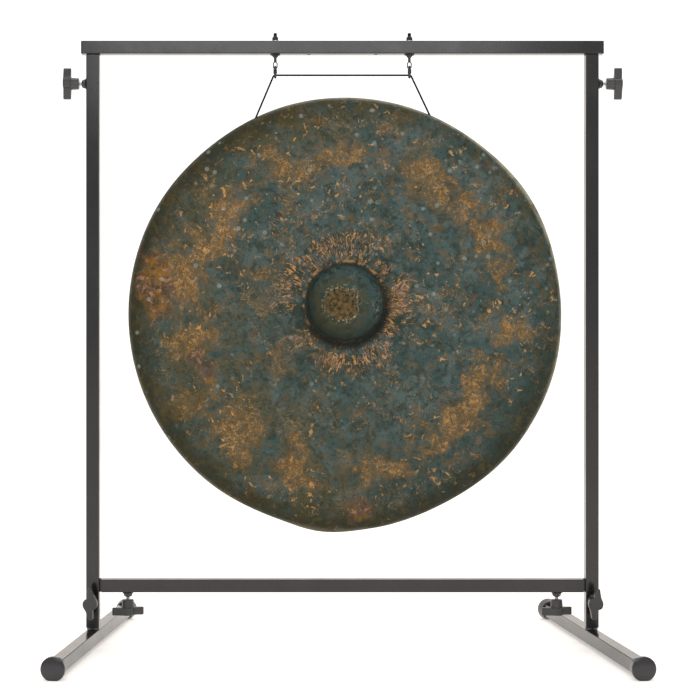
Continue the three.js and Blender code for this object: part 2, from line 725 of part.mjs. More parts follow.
const gongStand = new THREE.Group();
gongStand.add(piece('lower_bar', lowerBarGeometry(), blackPaint(), [0, 0, barAxis]));
gongStand.add(piece('crossbar', crossbarGeometry(), blackPaint(), [0, 0, crossbarAxis]));
for (const [name, side] of sides) {
  const face = tubeWidth / 2;
  const outer = side * (uprightX + face);
  gongStand.add(frameSide(name, side), crossbarSide(name, side), foot(name, side), hangerSide(name, side));
  gongStand.add(clamp(`upper_${name}`, upperStandOff[name], 0, [outer, 0, upperClampZ], [side, 0, 0], [0, 0, 1]));
  gongStand.add(clamp(`foot_${name}`, footStandOff, footTurnDegrees[name], [side * uprightX, -face, footClampZ],
    [0, -1, 0], [0, 0, 1]));
  gongStand.add(clamp(`bar_${name}`, barStandOff, barTurnDegrees[name], [side * barClampX, 0, barAxis - face],
    [0, 0, -1], [1, 0, 0]));
}
gongStand.add(piece('cord', cordGeometry(), cordFabric()));
gongStand.add(piece('gong', gongGeometry(), patinaBronze()));

export default gongStand;
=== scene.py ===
"""Gong stand: detailed pieces, finishes, light and camera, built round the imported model."""

import math

import bmesh
import bpy
from mathutils import Matrix, Vector, noise


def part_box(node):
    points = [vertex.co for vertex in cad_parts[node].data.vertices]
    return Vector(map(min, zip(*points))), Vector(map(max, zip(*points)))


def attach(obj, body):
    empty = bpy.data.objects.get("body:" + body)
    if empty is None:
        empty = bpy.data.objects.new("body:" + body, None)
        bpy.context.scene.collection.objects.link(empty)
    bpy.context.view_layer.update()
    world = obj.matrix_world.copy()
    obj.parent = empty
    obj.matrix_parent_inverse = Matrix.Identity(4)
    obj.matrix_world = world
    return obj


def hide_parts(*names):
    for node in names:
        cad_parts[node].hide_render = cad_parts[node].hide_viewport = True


bl_info = {
    "name": "Gong Stand",
    "version": (1, 0, 0),
    "blender": (4, 5, 0),
    "location": "View3D > Sidebar > Gong Stand",
    "description": "Builds a square-tube gong stand with its bossed gong",
    "category": "Add Mesh",
}

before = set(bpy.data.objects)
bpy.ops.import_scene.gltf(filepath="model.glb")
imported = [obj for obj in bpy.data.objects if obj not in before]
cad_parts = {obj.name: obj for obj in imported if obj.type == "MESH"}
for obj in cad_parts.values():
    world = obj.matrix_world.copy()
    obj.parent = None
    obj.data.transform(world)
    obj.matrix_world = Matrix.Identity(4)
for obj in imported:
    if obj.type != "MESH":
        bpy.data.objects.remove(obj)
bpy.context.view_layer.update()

MM = 0.001
RIGHT = Vector((1, 0, 0))
BACK = Vector((0, 1, 0))
UP = Vector((0, 0, 1))

# Photograph: frame and principal point in pixels, and where its camera stood
FRAME_PX = 700
FOCAL_PX = 1671
CENTRE_PX = (303, 330)
CAMERA_AT = Vector((-85, -3614, 684.5)) * MM
SENSOR = 36

# Softboxes in metres: name, place, size, brightness and the place that each one faces
SOFTBOXES = (
    ("front_softbox", (-0.1, -3.7, 2.45), (1.9, 1.5), 2.6, (-0.1, 0, 2.45)),
    ("top_softbox", (0, 0.1, 4.2), (3.5, 3.0), 1.6, (0, 0, 0.4)),
)
LIGHT_IN_FRONT = 0.62
LIGHT_BEHIND = 1.25
FLOOR_GLOW_STRENGTH = 0.4

# Frame tubes
TUBE_WIDTH = 28 * MM
TUBE_WALL = 1.5 * MM
TUBE_CORNER = 2 * MM
INNER_WIDTH = 24.4 * MM
INNER_CORNER = 0.5 * MM
TUBE_EDGE = 0.2 * MM
RIM_EDGE = 0.3 * MM
FOOT_AXIS_HEIGHT = 22.5 * MM
FOOT_HALF_LENGTH = 362 * MM
TOE_OUT = {"left": math.radians(5.6), "right": math.radians(6.8)}
HOLE_RADIUS = 4.3 * MM
EYE_X = 145 * MM
SPARE_X = 72.5 * MM
JOINT_GAP = 0.3 * MM
COLLAR_RADIUS = 13.8 * MM
SEAM_WIDTH = 27.2 * MM
SEAM_FALL = 0.03

# Clamps
NUT_FLATS = 16 * MM
NUT_HEIGHT = 10 * MM
NUT_CHAMFER = 2.2 * MM
WELD_EDGE = 1.2 * MM
WELD_HALF_LENGTH = 14.5 * MM
WELD_NECK_LENGTH = 11 * MM
WELD_NECK_HEIGHT = 2.6 * MM
WELD_HALF_WIDTH = 11 * MM
WELD_HEIGHT = 6 * MM
WELD_LUMP = 0.35 * MM
WELD_LUMPS_PER_METRE = 260
WELD_LUMP_SEED = 1
WELD_LEVEL_EDGE = 0.1 * MM
SCREW_RADIUS = 4 * MM
SCREW_IN_KNOB = 12 * MM
SCREW_TIP = 1.5 * MM
SCREW_CHAMFER = 1 * MM
WING_SPAN = 68 * MM
WING_WIDTH = 31 * MM
WING_THICKNESS = 16.5 * MM
HUB_RADIUS = 13.2 * MM
HUB_END_RADIUS = 12.2 * MM
HUB_LENGTH = 17 * MM
HUB_CHAMFER = 1.4 * MM

# End plugs of the crossbar and caps of the feet
PLUG_HEAD = 2.5 * MM
PLUG_TAIL = 14 * MM
PLUG_OVERLAP = 0.5 * MM
PLUG_EDGE = 0.8 * MM
CAP_RADIUS = 24.5 * MM
CAP_NECK_RADIUS = 21 * MM
CAP_LENGTH = 30 * MM
CAP_DOME = 5 * MM
CAP_STRAIGHT = 12 * MM
CAP_END = 5 * MM

# Eye bolts and snap hooks
BOLT_RADIUS = 4 * MM
WASHER_THICKNESS = 1.6 * MM
LOCK_NUT_FLATS = 13 * MM
LOCK_NUT_HEIGHT = 8 * MM
LOCK_NUT_COLLAR = 2.6 * MM
LOCK_NUT_CROWN = 5.4 * MM
LOCK_NUT_CHAMFER = 0.9 * MM
LOCK_NUT_INSET = 0.2 * MM
LOCK_NUT_EDGE = 0.6 * MM
CROWN_START = 1 * MM
CONE_RADIUS = 7 * MM
CONE_HEIGHT = 5.5 * MM
CONE_RIM = 1 * MM
CONE_EDGE = 0.4 * MM
EYE_NECK_RADIUS = 3 * MM
EYE_WIRE = 2.4 * MM
EYE_HOLE_WIDTH = 5.6 * MM
EYE_HOLE_HEIGHT = 12 * MM
HOOK_WIRE = 5 * MM
HOOK_EDGE = 0.4 * MM
HOOK_TOP_RADIUS = 7 * MM
HOOK_BOTTOM_RADIUS = 6 * MM
GATE_WALL = 1 * MM
NOSE_DROP = 1 * MM
GATE_DEPTH = 5.4 * MM
GATE_WIDTH = 7.8 * MM
GATE_BACK = 4.3 * MM
GATE_OVERLAP = 1.8 * MM
GATE_BEND = 0.9 * MM
GATE_EDGE = 0.15 * MM
PIN_RADIUS = 0.8 * MM
PIN_RISE = 2.3 * MM
PIN_EDGE = 0.4 * MM
PIN_ROUND = 0.25 * MM
WIRE_OVER_PIN = 1.4 * MM

# Cord and gong
CORD_RADIUS = 2 * MM
CORD_BEND = 4.8 * MM
CORD_HOLE_GAP = 0.6 * MM
CORD_HOLE_REACH = 12 * MM
KNOT_RADIUS = 5 * MM
KNOT_STAND_OFF = 2.6 * MM
KNOT_TURNS = 2
KNOT_SWELL = 2.9 * MM
KNOT_FLATNESS = 0.9
KNOT_LENGTH = 4.2 * MM
GONG_RADIUS = 469.3 * MM
GONG_WALL = 3 * MM
GONG_FACE_FRONT = 19.5 * MM
GONG_FACE_DEPTH = 2 * MM
GONG_SHOULDER = 30 * MM
GONG_RIM_DEPTH = 136 * MM
GONG_RIM_INSET = 44 * MM
GONG_DOME = 12 * MM
BOSS_RADIUS = 84 * MM
BOSS_HEIGHT = 64 * MM
BOSS_LIFT = 23 * MM
BOSS_FOOT = 7 * MM
BOSS_ANGLE = math.radians(88)
SHOULDER_ANGLE = math.radians(80)
RIM_CURVE = 1.15
SWAYS_PER_METRE = 7
DENTS_PER_METRE = 26
GONG_CENTRE = Vector((5.5, 0, 719.3)) * MM
DOME_MIDDLE_SHARE = 0.62
LIFT_SHARES = (0.25, 0.92)

# Where the rim swells or falls in: degrees from +X, half width in degrees, share of the radius
RIM_LUMP_SHARES = (
    (32, 24, 0.0105), (128, 26, -0.0065), (247, 17, -0.005), (264, 13, 0.0115), (297, 26, -0.0125),
    (345, 20, 0.003),
)

# Where the boss is struck, in shares of the gong's radius from its middle
SPOT_SHARE = (-0.018, 0, 0.045)

# Where the beaten face begins and ends, in shares of the gong's radius: a start and a width
BEATEN_FADES = ((0.2, 0.08), (1.0, -0.06))

# Where the finish of the boss stops, in shares of the gong's radius
BOSS_EDGE = (0.178, 0.168)

# How far a mark reaches past its half sizes, and over how much it fades
MARK_REACH = 1.7
MARK_FADE = 1.2

# Rings of the gong's finish, in shares of its radius: a middle and a half width
CLOUD_RING = (0.72, 0.2)
CLOUDS_AT_BOSS = (0.25, 0.18)
STREAK_RING = (0.25, 0.16)
# The painted shade in the groove round the boss's foot
BOSS_FOOT_SHADE_RING = (0.182, 0.022)
FLECK_RING = (0.193, 0.012)
SPOT_RING = (0.078, 0.02)

# Marks on the gong's face as shares of its radius: place, half sizes and how dense
CLOUD_SHARES = (
    (-0.52, 0.53, 0.10, 0.08, 1), (-0.64, 0.40, 0.10, 0.09, 1), (-0.33, 0.68, 0.10, 0.06, 0.8),
    (0.02, 0.73, 0.12, 0.05, 0.9), (0.16, 0.69, 0.07, 0.06, 0.9), (0.37, 0.66, 0.12, 0.10, 1),
    (0.35, 0.58, 0.10, 0.06, 0.9), (0.55, 0.48, 0.10, 0.07, 0.9), (0.64, 0.37, 0.07, 0.07, 0.8),
    (0.71, 0.07, 0.03, 0.30, 0.5), (0.64, -0.35, 0.09, 0.10, 0.7), (0.55, -0.47, 0.10, 0.07, 0.8),
    (0.38, -0.60, 0.10, 0.05, 0.7), (0.16, -0.72, 0.12, 0.05, 0.8), (-0.30, -0.72, 0.15, 0.07, 0.9),
    (-0.49, -0.61, 0.08, 0.06, 0.8), (-0.56, -0.53, 0.10, 0.08, 0.6), (-0.71, -0.40, 0.10, 0.08, 0.8),
    (-0.70, 0.04, 0.15, 0.25, 0.8), (-0.69, 0.26, 0.12, 0.12, 0.9), (-0.17, -0.21, 0.15, 0.10, 0.8),
    (-0.23, -0.10, 0.06, 0.05, 1), (-0.42, 0.18, 0.06, 0.03, 0.8), (0.20, 0.90, 0.05, 0.03, 0.8),
    (-0.78, 0.53, 0.04, 0.04, 1),
)
PATCH_SHARES = (
    (-0.87, 0.14, 0.09, 0.17, 1), (0.07, -0.9, 0.06, 0.06, 1), (-0.68, -0.2, 0.05, 0.05, 0.8),
    (-0.61, -0.27, 0.05, 0.05, 0.8),
)

# Where the cord goes through the rim, in degrees from the top
CORD_HOLE_DEGREES = {"left": 24.4, "right": 23.1}

# Half of the wing outline, as shares of half the width and half the span; the rest is its half turn
WING_SHARES = (
    (1, 0), (0.97, 0.13), (0.83, 0.265), (0.58, 0.455), (0.335, 0.75), (0.23, 0.91), (0.08, 0.985), (-0.1, 1),
    (-0.28, 0.98), (-0.38, 0.91), (-0.4, 0.765), (-0.39, 0.425), (-0.5, 0.325), (-0.8, 0.245), (-0.97, 0.13),
)

# Clamp name: the tube it sits on, the way out of the tube's face, the way along the tube
CLAMPS = {
    "upper_left": ("upright_left", -RIGHT, UP),
    "upper_right": ("upright_right", RIGHT, UP),
    "foot_left": ("upright_left", -BACK, UP),
    "foot_right": ("upright_right", -BACK, UP),
    "bar_left": ("lower_bar", -UP, RIGHT),
    "bar_right": ("lower_bar", -UP, RIGHT),
}
KNOB_TURNS = {
    "foot_right": math.radians(-10),
    "bar_left": math.radians(-15),
    "bar_right": math.radians(-15),
}
SIDES = (("left", -1), ("right", 1))

# The open seam of a ring's profile, which closes when its points are merged
SLIT = 1e-6 * MM

# Second tones of the finishes: handling dust, tarnish, painted shade and mottle
PAINT_DUST = (0.014, 0.014, 0.015, 1)
# Black of the seam beads: partly the weld's own black, partly painted shade for the gap line at the joint
WELD_BLACK_AND_GAP_SHADE = (0.003, 0.003, 0.003, 1)
WELD_DUST = (0.008, 0.008, 0.008, 1)
KNOB_DUST = (0.07, 0.07, 0.071, 1)
CAP_DUST = (0.024, 0.024, 0.025, 1)
BRIGHT_TARNISH = (0.4, 0.4, 0.38, 1)
DULL_TARNISH = (0.03, 0.03, 0.029, 1)
CORD_SHADE = (0.0015, 0.0015, 0.0015, 1)
# Painted shade in the groove round the boss's foot, and its painted shadow below
BOSS_FOOT_SHADE = (0.006, 0.006, 0.005, 1)
FLOOR_MOTTLE = (0.8, 0.78, 0.76, 1)
FLOOR_GLOW = (1, 0.97, 0.94, 1)
WHITE = (1, 1, 1, 1)
DUST_AMOUNT = 0.5


class GongStandSizes(bpy.types.PropertyGroup):
    """Small sizes of the dressed pieces"""

    thread_pitch: bpy.props.FloatProperty(
        name="Thread pitch", description="Rise of one turn of the screws", default=1.25 * MM,
        subtype="DISTANCE")
    thread_depth: bpy.props.FloatProperty(
        name="Thread depth", description="Depth of the screws' thread", default=0.68 * MM,
        subtype="DISTANCE")
    knob_round: bpy.props.FloatProperty(
        name="Knob rounding", description="Rounding along the wing edges", default=1.4 * MM,
        subtype="DISTANCE")
    dent_depth: bpy.props.FloatProperty(
        name="Dent depth", description="Depth of the beaten dents in the gong", default=0.7 * MM,
        subtype="DISTANCE")
    sway_depth: bpy.props.FloatProperty(
        name="Sway depth", description="How far the gong's face wanders from flat", default=1.6 * MM,
        subtype="DISTANCE")
    floor_radius: bpy.props.FloatProperty(
        name="Floor radius", description="Radius of the round floor", default=40, subtype="DISTANCE")


def colour_property(name, default):
    return bpy.props.FloatVectorProperty(
        name=name, description=f"Colour of the {name.lower()}", subtype="COLOR", size=4, min=0, max=1,
        default=(*default, 1))


class GongStandColours(bpy.types.PropertyGroup):
    """Colours of the finishes"""

    paint: colour_property("Black paint", (0.006, 0.006, 0.007))
    zinc: colour_property("Bright zinc", (0.7, 0.7, 0.68))
    dull_zinc: colour_property("Dull zinc", (0.075, 0.075, 0.072))
    plastic: colour_property("Knob plastic", (0.034, 0.034, 0.035))
    cap: colour_property("Cap plastic", (0.01, 0.01, 0.011))
    cord: colour_property("Cord", (0.004, 0.004, 0.0042))
    patina: colour_property("Blue-green patina", (0.042, 0.074, 0.07))
    patina_pale: colour_property("Pale patina", (0.078, 0.112, 0.107))
    patina_dark: colour_property("Dark patina", (0.019, 0.032, 0.026))
    olive: colour_property("Olive rim", (0.07, 0.058, 0.02))
    olive_dark: colour_property("Dark olive", (0.02, 0.02, 0.009))
    brown: colour_property("Brown haze", (0.14, 0.085, 0.031))
    tan: colour_property("Tan scratches", (0.52, 0.285, 0.095))
    copper: colour_property("Copper streaks", (0.46, 0.24, 0.15))
    rust: colour_property("Rust patch", (0.22, 0.105, 0.018))
    plum: colour_property("Plum patch", (0.1, 0.066, 0.044))
    # This colour also paints the highlight along the rim's lit upper right edge and the sheen on the boss's
    # upper side
    khaki: colour_property("Worn edge", (0.36, 0.34, 0.23))
    chalk: colour_property("Chalk dots", (0.3, 0.35, 0.33))
    floor: colour_property("Floor", (0.92, 0.88, 0.84))
    studio: colour_property("Studio light", (1, 0.93, 0.87))


def sizes():
    return bpy.context.scene.gong_stand_sizes


def colours():
    return bpy.context.scene.gong_stand_colours


# Node trees

class Tree:
    """Adds nodes to a shader tree and joins them up"""

    def __init__(self, tree):
        self.tree = tree

    def put(self, target, value):
        if isinstance(value, bpy.types.NodeSocket):
            self.tree.links.new(value, target)
        elif value is not None:
            target.default_value = value

    def node(self, kind, settings=None, **inputs):
        made = self.tree.nodes.new(kind)
        for key, value in (settings or {}).items():
            setattr(made, key, value)
        for key, value in inputs.items():
            self.put(made.inputs[key.replace("_", " ")], value)
        return made

    def math(self, operation, first, second=None, third=None, clamp=False):
        made = self.tree.nodes.new("ShaderNodeMath")
        made.operation = operation
        made.use_clamp = clamp
        for socket, value in zip(made.inputs, (first, second, third)):
            self.put(socket, value)
        return made.outputs[0]

    def vector(self, operation, first, second=None, scale=None):
        made = self.tree.nodes.new("ShaderNodeVectorMath")
        made.operation = operation
        self.put(made.inputs[0], first)
        self.put(made.inputs[1], second)
        if scale is not None:
            self.put(made.inputs["Scale"], scale)
        return made.outputs["Value" if operation in ("LENGTH", "DOT_PRODUCT", "DISTANCE") else "Vector"]

    def step(self, value, low, high, to_low=0.0, to_high=1.0):
        made = self.node("ShaderNodeMapRange", {"interpolation_type": "SMOOTHSTEP"})
        for socket, part in zip(made.inputs, (value, low, high, to_low, to_high)):
            self.put(socket, part)
        return made.outputs[0]

    def blend(self, amount, first, second, kind="MIX"):
        made = self.tree.nodes.new("ShaderNodeMix")
        made.data_type = "RGBA"
        made.blend_type = kind
        self.put(made.inputs[0], amount)
        self.put(made.inputs[6], first)
        self.put(made.inputs[7], second)
        return made.outputs[2]

    def noise(self, place, scale, detail=4.0, roughness=0.55, distortion=0.0):
        made = self.node("ShaderNodeTexNoise", Vector=place, Scale=scale, Detail=detail, Roughness=roughness,
                         Distortion=distortion)
        return made.outputs[0]

    def group(self, built, **inputs):
        made = self.tree.nodes.new("ShaderNodeGroup")
        made.node_tree = built
        for key, value in inputs.items():
            self.put(made.inputs[key.replace("_", " ")], value)
        return made

    def object_place(self):
        return self.tree.nodes.new("ShaderNodeTexCoord").outputs["Object"]


def group_of(name, inputs, outputs):
    """An empty node group with named sockets, and its tree"""
    built = bpy.data.node_groups.new(name, "ShaderNodeTree")
    for label, kind in inputs:
        built.interface.new_socket(label, in_out="INPUT", socket_type=kind)
    for label, kind in outputs:
        built.interface.new_socket(label, in_out="OUTPUT", socket_type=kind)
    return built, Tree(built), built.nodes.new("NodeGroupInput"), built.nodes.new("NodeGroupOutput")


def clouds_group():
    """Soft-edged patches of noise"""
    name = "clouds"
    if name in bpy.data.node_groups:
        return bpy.data.node_groups[name]
    labels = ("Scale", "Detail", "Warp", "Low", "High")
    built, tree, start, end = group_of(
        name, [("Place", "NodeSocketVector"), *((label, "NodeSocketFloat") for label in labels)],
        [("Mask", "NodeSocketFloat")])
    place, scale, detail, warp, low, high = start.outputs[:6]
    raw = tree.noise(place, scale, detail, 0.62, warp)
    tree.put(end.inputs["Mask"], tree.step(raw, low, high))
    return built


def skin_group():
    """A fine uneven skin: a bumped normal, and a roughness that varies"""
    name = "skin"
    if name in bpy.data.node_groups:
        return bpy.data.node_groups[name]
    labels = ("Grain", "Depth", "Rough Low", "Rough High")
    built, tree, start, end = group_of(
        name, [("Place", "NodeSocketVector"), *((label, "NodeSocketFloat") for label in labels)],
        [("Normal", "NodeSocketVector"), ("Roughness", "NodeSocketFloat")])
    place, grain, depth, rough_low, rough_high = start.outputs[:5]
    fine = tree.noise(place, grain, 2.0, 0.5)
    broad = tree.noise(place, 14.0, 5.0, 0.6)
    bump = tree.node("ShaderNodeBump", Height=tree.math("MULTIPLY", fine, depth), Distance=1.0)
    tree.put(end.inputs["Normal"], bump.outputs[0])
    tree.put(end.inputs["Roughness"], tree.step(broad, 0.3, 0.7, rough_low, rough_high))
    return built


def start_material(name):
    """A named material with its shader, or None for the shader where the material is there already"""
    if name in bpy.data.materials:
        return bpy.data.materials[name], None, None
    material = bpy.data.materials.new(name)
    material.use_nodes = True
    return material, Tree(material.node_tree), material.node_tree.nodes["Principled BSDF"]


def add_skin(tree, shader, place, grain, depth, rough):
    """Joins the uneven skin to a shader's roughness and normal"""
    skin = tree.group(skin_group(), Place=place, Grain=grain, Depth=depth, Rough_Low=rough[0],
                      Rough_High=rough[1])
    tree.put(shader.inputs["Roughness"], skin.outputs["Roughness"])
    tree.put(shader.inputs["Normal"], skin.outputs["Normal"])


def skinned(name, base, dust, grain, depth, rough, coat=0.0):
    """A painted or moulded finish: a film of handling, a fine skin and uneven gloss"""
    material, tree, shader = start_material(name)
    if shader is None:
        return material
    place = tree.object_place()
    film = tree.group(clouds_group(), Place=place, Scale=9.0, Detail=6.0, Warp=0.4, Low=0.35, High=0.8)
    amount = tree.math("MULTIPLY", film.outputs[0], DUST_AMOUNT)
    tree.put(shader.inputs["Base Color"], tree.blend(amount, base, dust))
    add_skin(tree, shader, place, grain, depth, rough)
    shader.inputs["Coat Weight"].default_value = coat
    shader.inputs["Coat Roughness"].default_value = 0.12
    return material


def black_paint():
    return skinned("black_powder_coat", colours().paint, PAINT_DUST, grain=900.0, depth=0.012 * MM,
                   rough=(0.15, 0.25), coat=0.2)


def matt_weld_and_gap_shade():
    """The same paint where a bead keeps it thin and dull, and darker as painted shade for the shadowed gap
    line at the joint
    """
    return skinned("matt_weld_and_gap_shade", WELD_BLACK_AND_GAP_SHADE, WELD_DUST, grain=500.0, depth=0.08 * MM, rough=(0.7, 0.9))


def knob_plastic():
    return skinned("knob_plastic", colours().plastic, KNOB_DUST, grain=1400.0, depth=0.03 * MM,
                   rough=(0.3, 0.42))


def cap_plastic():
    return skinned("cap_plastic", colours().cap, CAP_DUST, grain=1000.0, depth=0.01 * MM,
                   rough=(0.12, 0.2), coat=0.3)


def plated(name, base, dark, rough):
    """Zinc plate: metal with cloudy tarnish and fine drawn lines"""
    material, tree, shader = start_material(name)
    if shader is None:
        return material
    place = tree.object_place()
    tarnish = tree.group(clouds_group(), Place=place, Scale=160.0, Detail=5.0, Warp=0.8, Low=0.35, High=0.75)
    tree.put(shader.inputs["Base Color"], tree.blend(tarnish.outputs[0], base, dark))
    add_skin(tree, shader, place, grain=2600.0, depth=0.02 * MM, rough=rough)
    shader.inputs["Metallic"].default_value = 1.0
    return material


def bright_zinc():
    return plated("bright_zinc", colours().zinc, BRIGHT_TARNISH, (0.22, 0.38))


def dull_zinc():
    return plated("dull_zinc", colours().dull_zinc, DULL_TARNISH, (0.3, 0.45))


def braided_cord():
    """Black braid: two sets of strands that cross, laid out on the cord's own length and girth"""
    material, tree, shader = start_material("braided_cord")
    if shader is None:
        return material
    laid = tree.node("ShaderNodeUVMap", {"uv_map": "lay"}).outputs[0]
    apart = tree.node("ShaderNodeSeparateXYZ", Vector=laid)
    strand_count, turns_per_metre = 4.0, 220.0
    along = tree.math("MULTIPLY", apart.outputs[1], turns_per_metre * 2 * math.pi)
    waves = []
    for sign in (1.0, -1.0):
        round_it = tree.math("MULTIPLY", apart.outputs[0], sign * strand_count * 2 * math.pi)
        waves.append(tree.math("SINE", tree.math("ADD", round_it, along)))
    height = tree.math("MAXIMUM", waves[0], waves[1])
    shade = tree.step(height, -0.2, 1.0)
    fuzz = tree.noise(tree.object_place(), 3000.0, 3.0)
    strands = tree.math("ADD", height, fuzz)
    bump = tree.node("ShaderNodeBump", Height=strands, Distance=0.25 * MM, Strength=0.8)
    tree.put(shader.inputs["Base Color"], tree.blend(shade, CORD_SHADE, colours().cord))
    tree.put(shader.inputs["Normal"], bump.outputs[0])
    shader.inputs["Roughness"].default_value = 0.82
    shader.inputs["Specular IOR Level"].default_value = 0.1
    return material


class Patina(Tree):
    """The gong's finish, laid over in coats from its ground up, on places as shares of its radius"""

    def __init__(self, tree):
        super().__init__(tree)
        self.place = self.node("ShaderNodeMapping", {"vector_type": "POINT"}, Vector=self.object_place(),
                               Location=-GONG_CENTRE).outputs[0]
        self.flat = self.vector("MULTIPLY", self.place, (1 / GONG_RADIUS, 0, 1 / GONG_RADIUS))
        self.radius = self.vector("LENGTH", self.flat)
        self.boss_place = self.vector("SUBTRACT", self.flat, (0, 0, BOSS_LIFT / GONG_RADIUS))
        self.boss_radius = self.vector("LENGTH", self.boss_place)
        self.spot_radius = self.vector("LENGTH", self.vector("SUBTRACT", self.flat, SPOT_SHARE))
        self.depth = self.node("ShaderNodeSeparateXYZ", Vector=self.place).outputs[1]
        marks = self.node("ShaderNodeAttribute", {"attribute_name": "marks"}).outputs["Color"]
        self.marks = self.node("ShaderNodeSeparateColor", Color=marks).outputs
        self.colour = None

    def cloud(self, scale, low, high, detail=8.0, warp=0.6):
        return self.group(clouds_group(), Place=self.place, Scale=scale, Detail=detail, Warp=warp, Low=low,
                          High=high).outputs[0]

    def ragged(self, amount, scale, detail, roughness=0.55, distortion=0.0):
        """Noise about zero, to break up an edge"""
        raw = self.noise(self.place, scale, detail, roughness, distortion)
        return self.times(self.math("SUBTRACT", raw, 0.5), amount)

    def times(self, *values):
        product = values[0]
        for value in values[1:]:
            product = self.math("MULTIPLY", product, value)
        return product

    def plus(self, *values):
        total = values[0]
        for value in values[1:]:
            total = self.math("ADD", total, value)
        return total

    def coat(self, amount, colour):
        self.colour = self.blend(amount, self.colour, colour)

    def away(self, value, middle, half):
        """1 at a value and 0 at a half width from it"""
        off = self.math("ABSOLUTE", self.math("SUBTRACT", value, middle))
        return self.step(off, half, 0.0)

    def towards(self, right, up, low, high):
        """How far a place lies to one side of the middle, from 0 at one share to 1 at the other"""
        return self.step(self.vector("DOT_PRODUCT", self.flat, (right, 0, up)), low, high)

    def scratches(self, scale, width, warp):
        """Fine curly lines, where noise passes its middle"""
        raw = self.noise(self.place, scale, 5.0, 0.6, warp)
        return self.away(raw, 0.5, width)


def gong_ground(coats, tones):
    """Blue-green ground, paler to the upper right and olive to the lower left, mottled fine and coarse"""
    coats.colour = coats.blend(coats.cloud(18.0, 0.42, 0.62, 12.0), tones.patina, tones.patina_pale)
    coats.coat(coats.times(coats.cloud(36.0, 0.48, 0.62, 10.0), 0.7), tones.patina_dark)
    olive_side = coats.plus(coats.towards(-0.75, -0.65, -0.1, 0.9), coats.towards(-0.5, 0.86, 0.55, 0.95))
    coats.coat(coats.times(olive_side, coats.cloud(16.0, 0.35, 0.6, 10.0), 0.85), tones.olive)
    coats.coat(coats.times(coats.towards(0.7, -0.7, 0.45, 0.95), 0.5), tones.patina_dark)
    coats.coat(coats.times(coats.cloud(120.0, 0.48, 0.66, 6.0), 0.55), tones.olive_dark)
    coats.coat(coats.times(coats.cloud(40.0, 0.52, 0.63, 12.0, 1.0), 0.45), tones.brown)


def gong_clouds(coats, tones):
    """Brown haze with bright curly scratches, where the marks of the mesh ask for it"""
    broken = coats.ragged(3.6, 14.0, 12.0, 0.7, 0.6)
    near_boss = coats.times(coats.away(coats.boss_radius, *CLOUDS_AT_BOSS), 0.22)
    ring = coats.times(coats.away(coats.radius, *CLOUD_RING), 0.34)
    wanted = coats.plus(coats.times(coats.marks[0], 0.38), near_boss, broken, ring)
    fine = coats.plus(coats.times(coats.cloud(95.0, 0.4, 0.6, 6.0), 0.5), 0.45)
    haze = coats.times(coats.step(wanted, 0.1, 0.9), fine)
    coats.coat(haze, tones.brown)
    dense = coats.step(wanted, 0.3, 1.0)
    curls = coats.math("MAXIMUM", coats.scratches(34.0, 0.013, 1.2), coats.scratches(70.0, 0.018, 0.8))
    coats.coat(coats.times(dense, curls, coats.cloud(55.0, 0.4, 0.6, 8.0), 0.95), tones.tan)
    coats.coat(coats.times(dense, coats.cloud(90.0, 0.54, 0.62, 8.0, 1.0), 0.5), tones.tan)
    stray = coats.times(coats.scratches(26.0, 0.008, 2.0), coats.cloud(14.0, 0.46, 0.58), 0.85)
    coats.coat(stray, tones.tan)
    specks = coats.times(coats.cloud(75.0, 0.61, 0.66, 4.0), coats.cloud(8.0, 0.4, 0.56))
    coats.coat(coats.times(specks, 0.85), tones.tan)
    coats.coat(coats.times(coats.cloud(170.0, 0.53, 0.66, 5.0), 0.3), tones.patina_pale)
    return haze


def gong_rim(coats, tones):
    """Dark olive round the rim with yellow-brown flecks, less dark to the upper right as painted light, and a
    pale line along the very edge that is partly wear and partly a painted highlight, brightest to the upper
    right
    """
    reach = coats.plus(coats.radius, coats.ragged(0.12, 22.0, 8.0, 0.65))
    # Painted light: the upper right of the rim, where light falls
    bright = coats.towards(0.75, 0.66, 0.1, 0.95)
    dark = coats.math("SUBTRACT", 0.78, coats.times(bright, 0.5))
    coats.coat(coats.times(coats.step(reach, 0.85, 0.97), dark), tones.olive_dark)
    flecks = coats.times(coats.step(reach, 0.84, 0.95), coats.cloud(42.0, 0.52, 0.66, 12.0, 1.0))
    coats.coat(coats.times(flecks, 0.75), tones.olive)
    # The edge line is partly wear and partly a painted highlight, brightest on the lit upper right
    edge = coats.times(coats.step(coats.radius, 0.978, 0.999), coats.cloud(30.0, 0.25, 0.6),
                       coats.plus(coats.times(bright, 0.7), 0.2))
    coats.coat(edge, tones.khaki)


def gong_patches(coats, tones):
    """Rust and plum patches from the marks of the mesh, and chalky dots in clusters"""
    patch = coats.step(coats.plus(coats.marks[1], coats.ragged(3.0, 18.0, 10.0, 0.7)), 0.25, 1.0)
    plum_to_rust = coats.blend(coats.cloud(26.0, 0.46, 0.62), tones.plum, tones.rust)
    coats.coat(coats.times(patch, 0.8), plum_to_rust)
    coats.coat(coats.times(patch, coats.cloud(70.0, 0.48, 0.6, 10.0, 1.0), 0.5), tones.olive_dark)
    coats.coat(coats.times(patch, coats.cloud(90.0, 0.54, 0.62, 6.0), 0.5), tones.copper)
    dots = coats.node("ShaderNodeTexVoronoi", {"feature": "F1"}, Vector=coats.place, Scale=31.0,
                      Randomness=1.0)
    where = coats.times(coats.cloud(6.5, 0.42, 0.5), coats.towards(-0.35, 0.94, -0.6, 0.0))
    coats.coat(coats.times(coats.away(dots.outputs["Distance"], 0.08, 0.12), where, 0.45), tones.chalk)


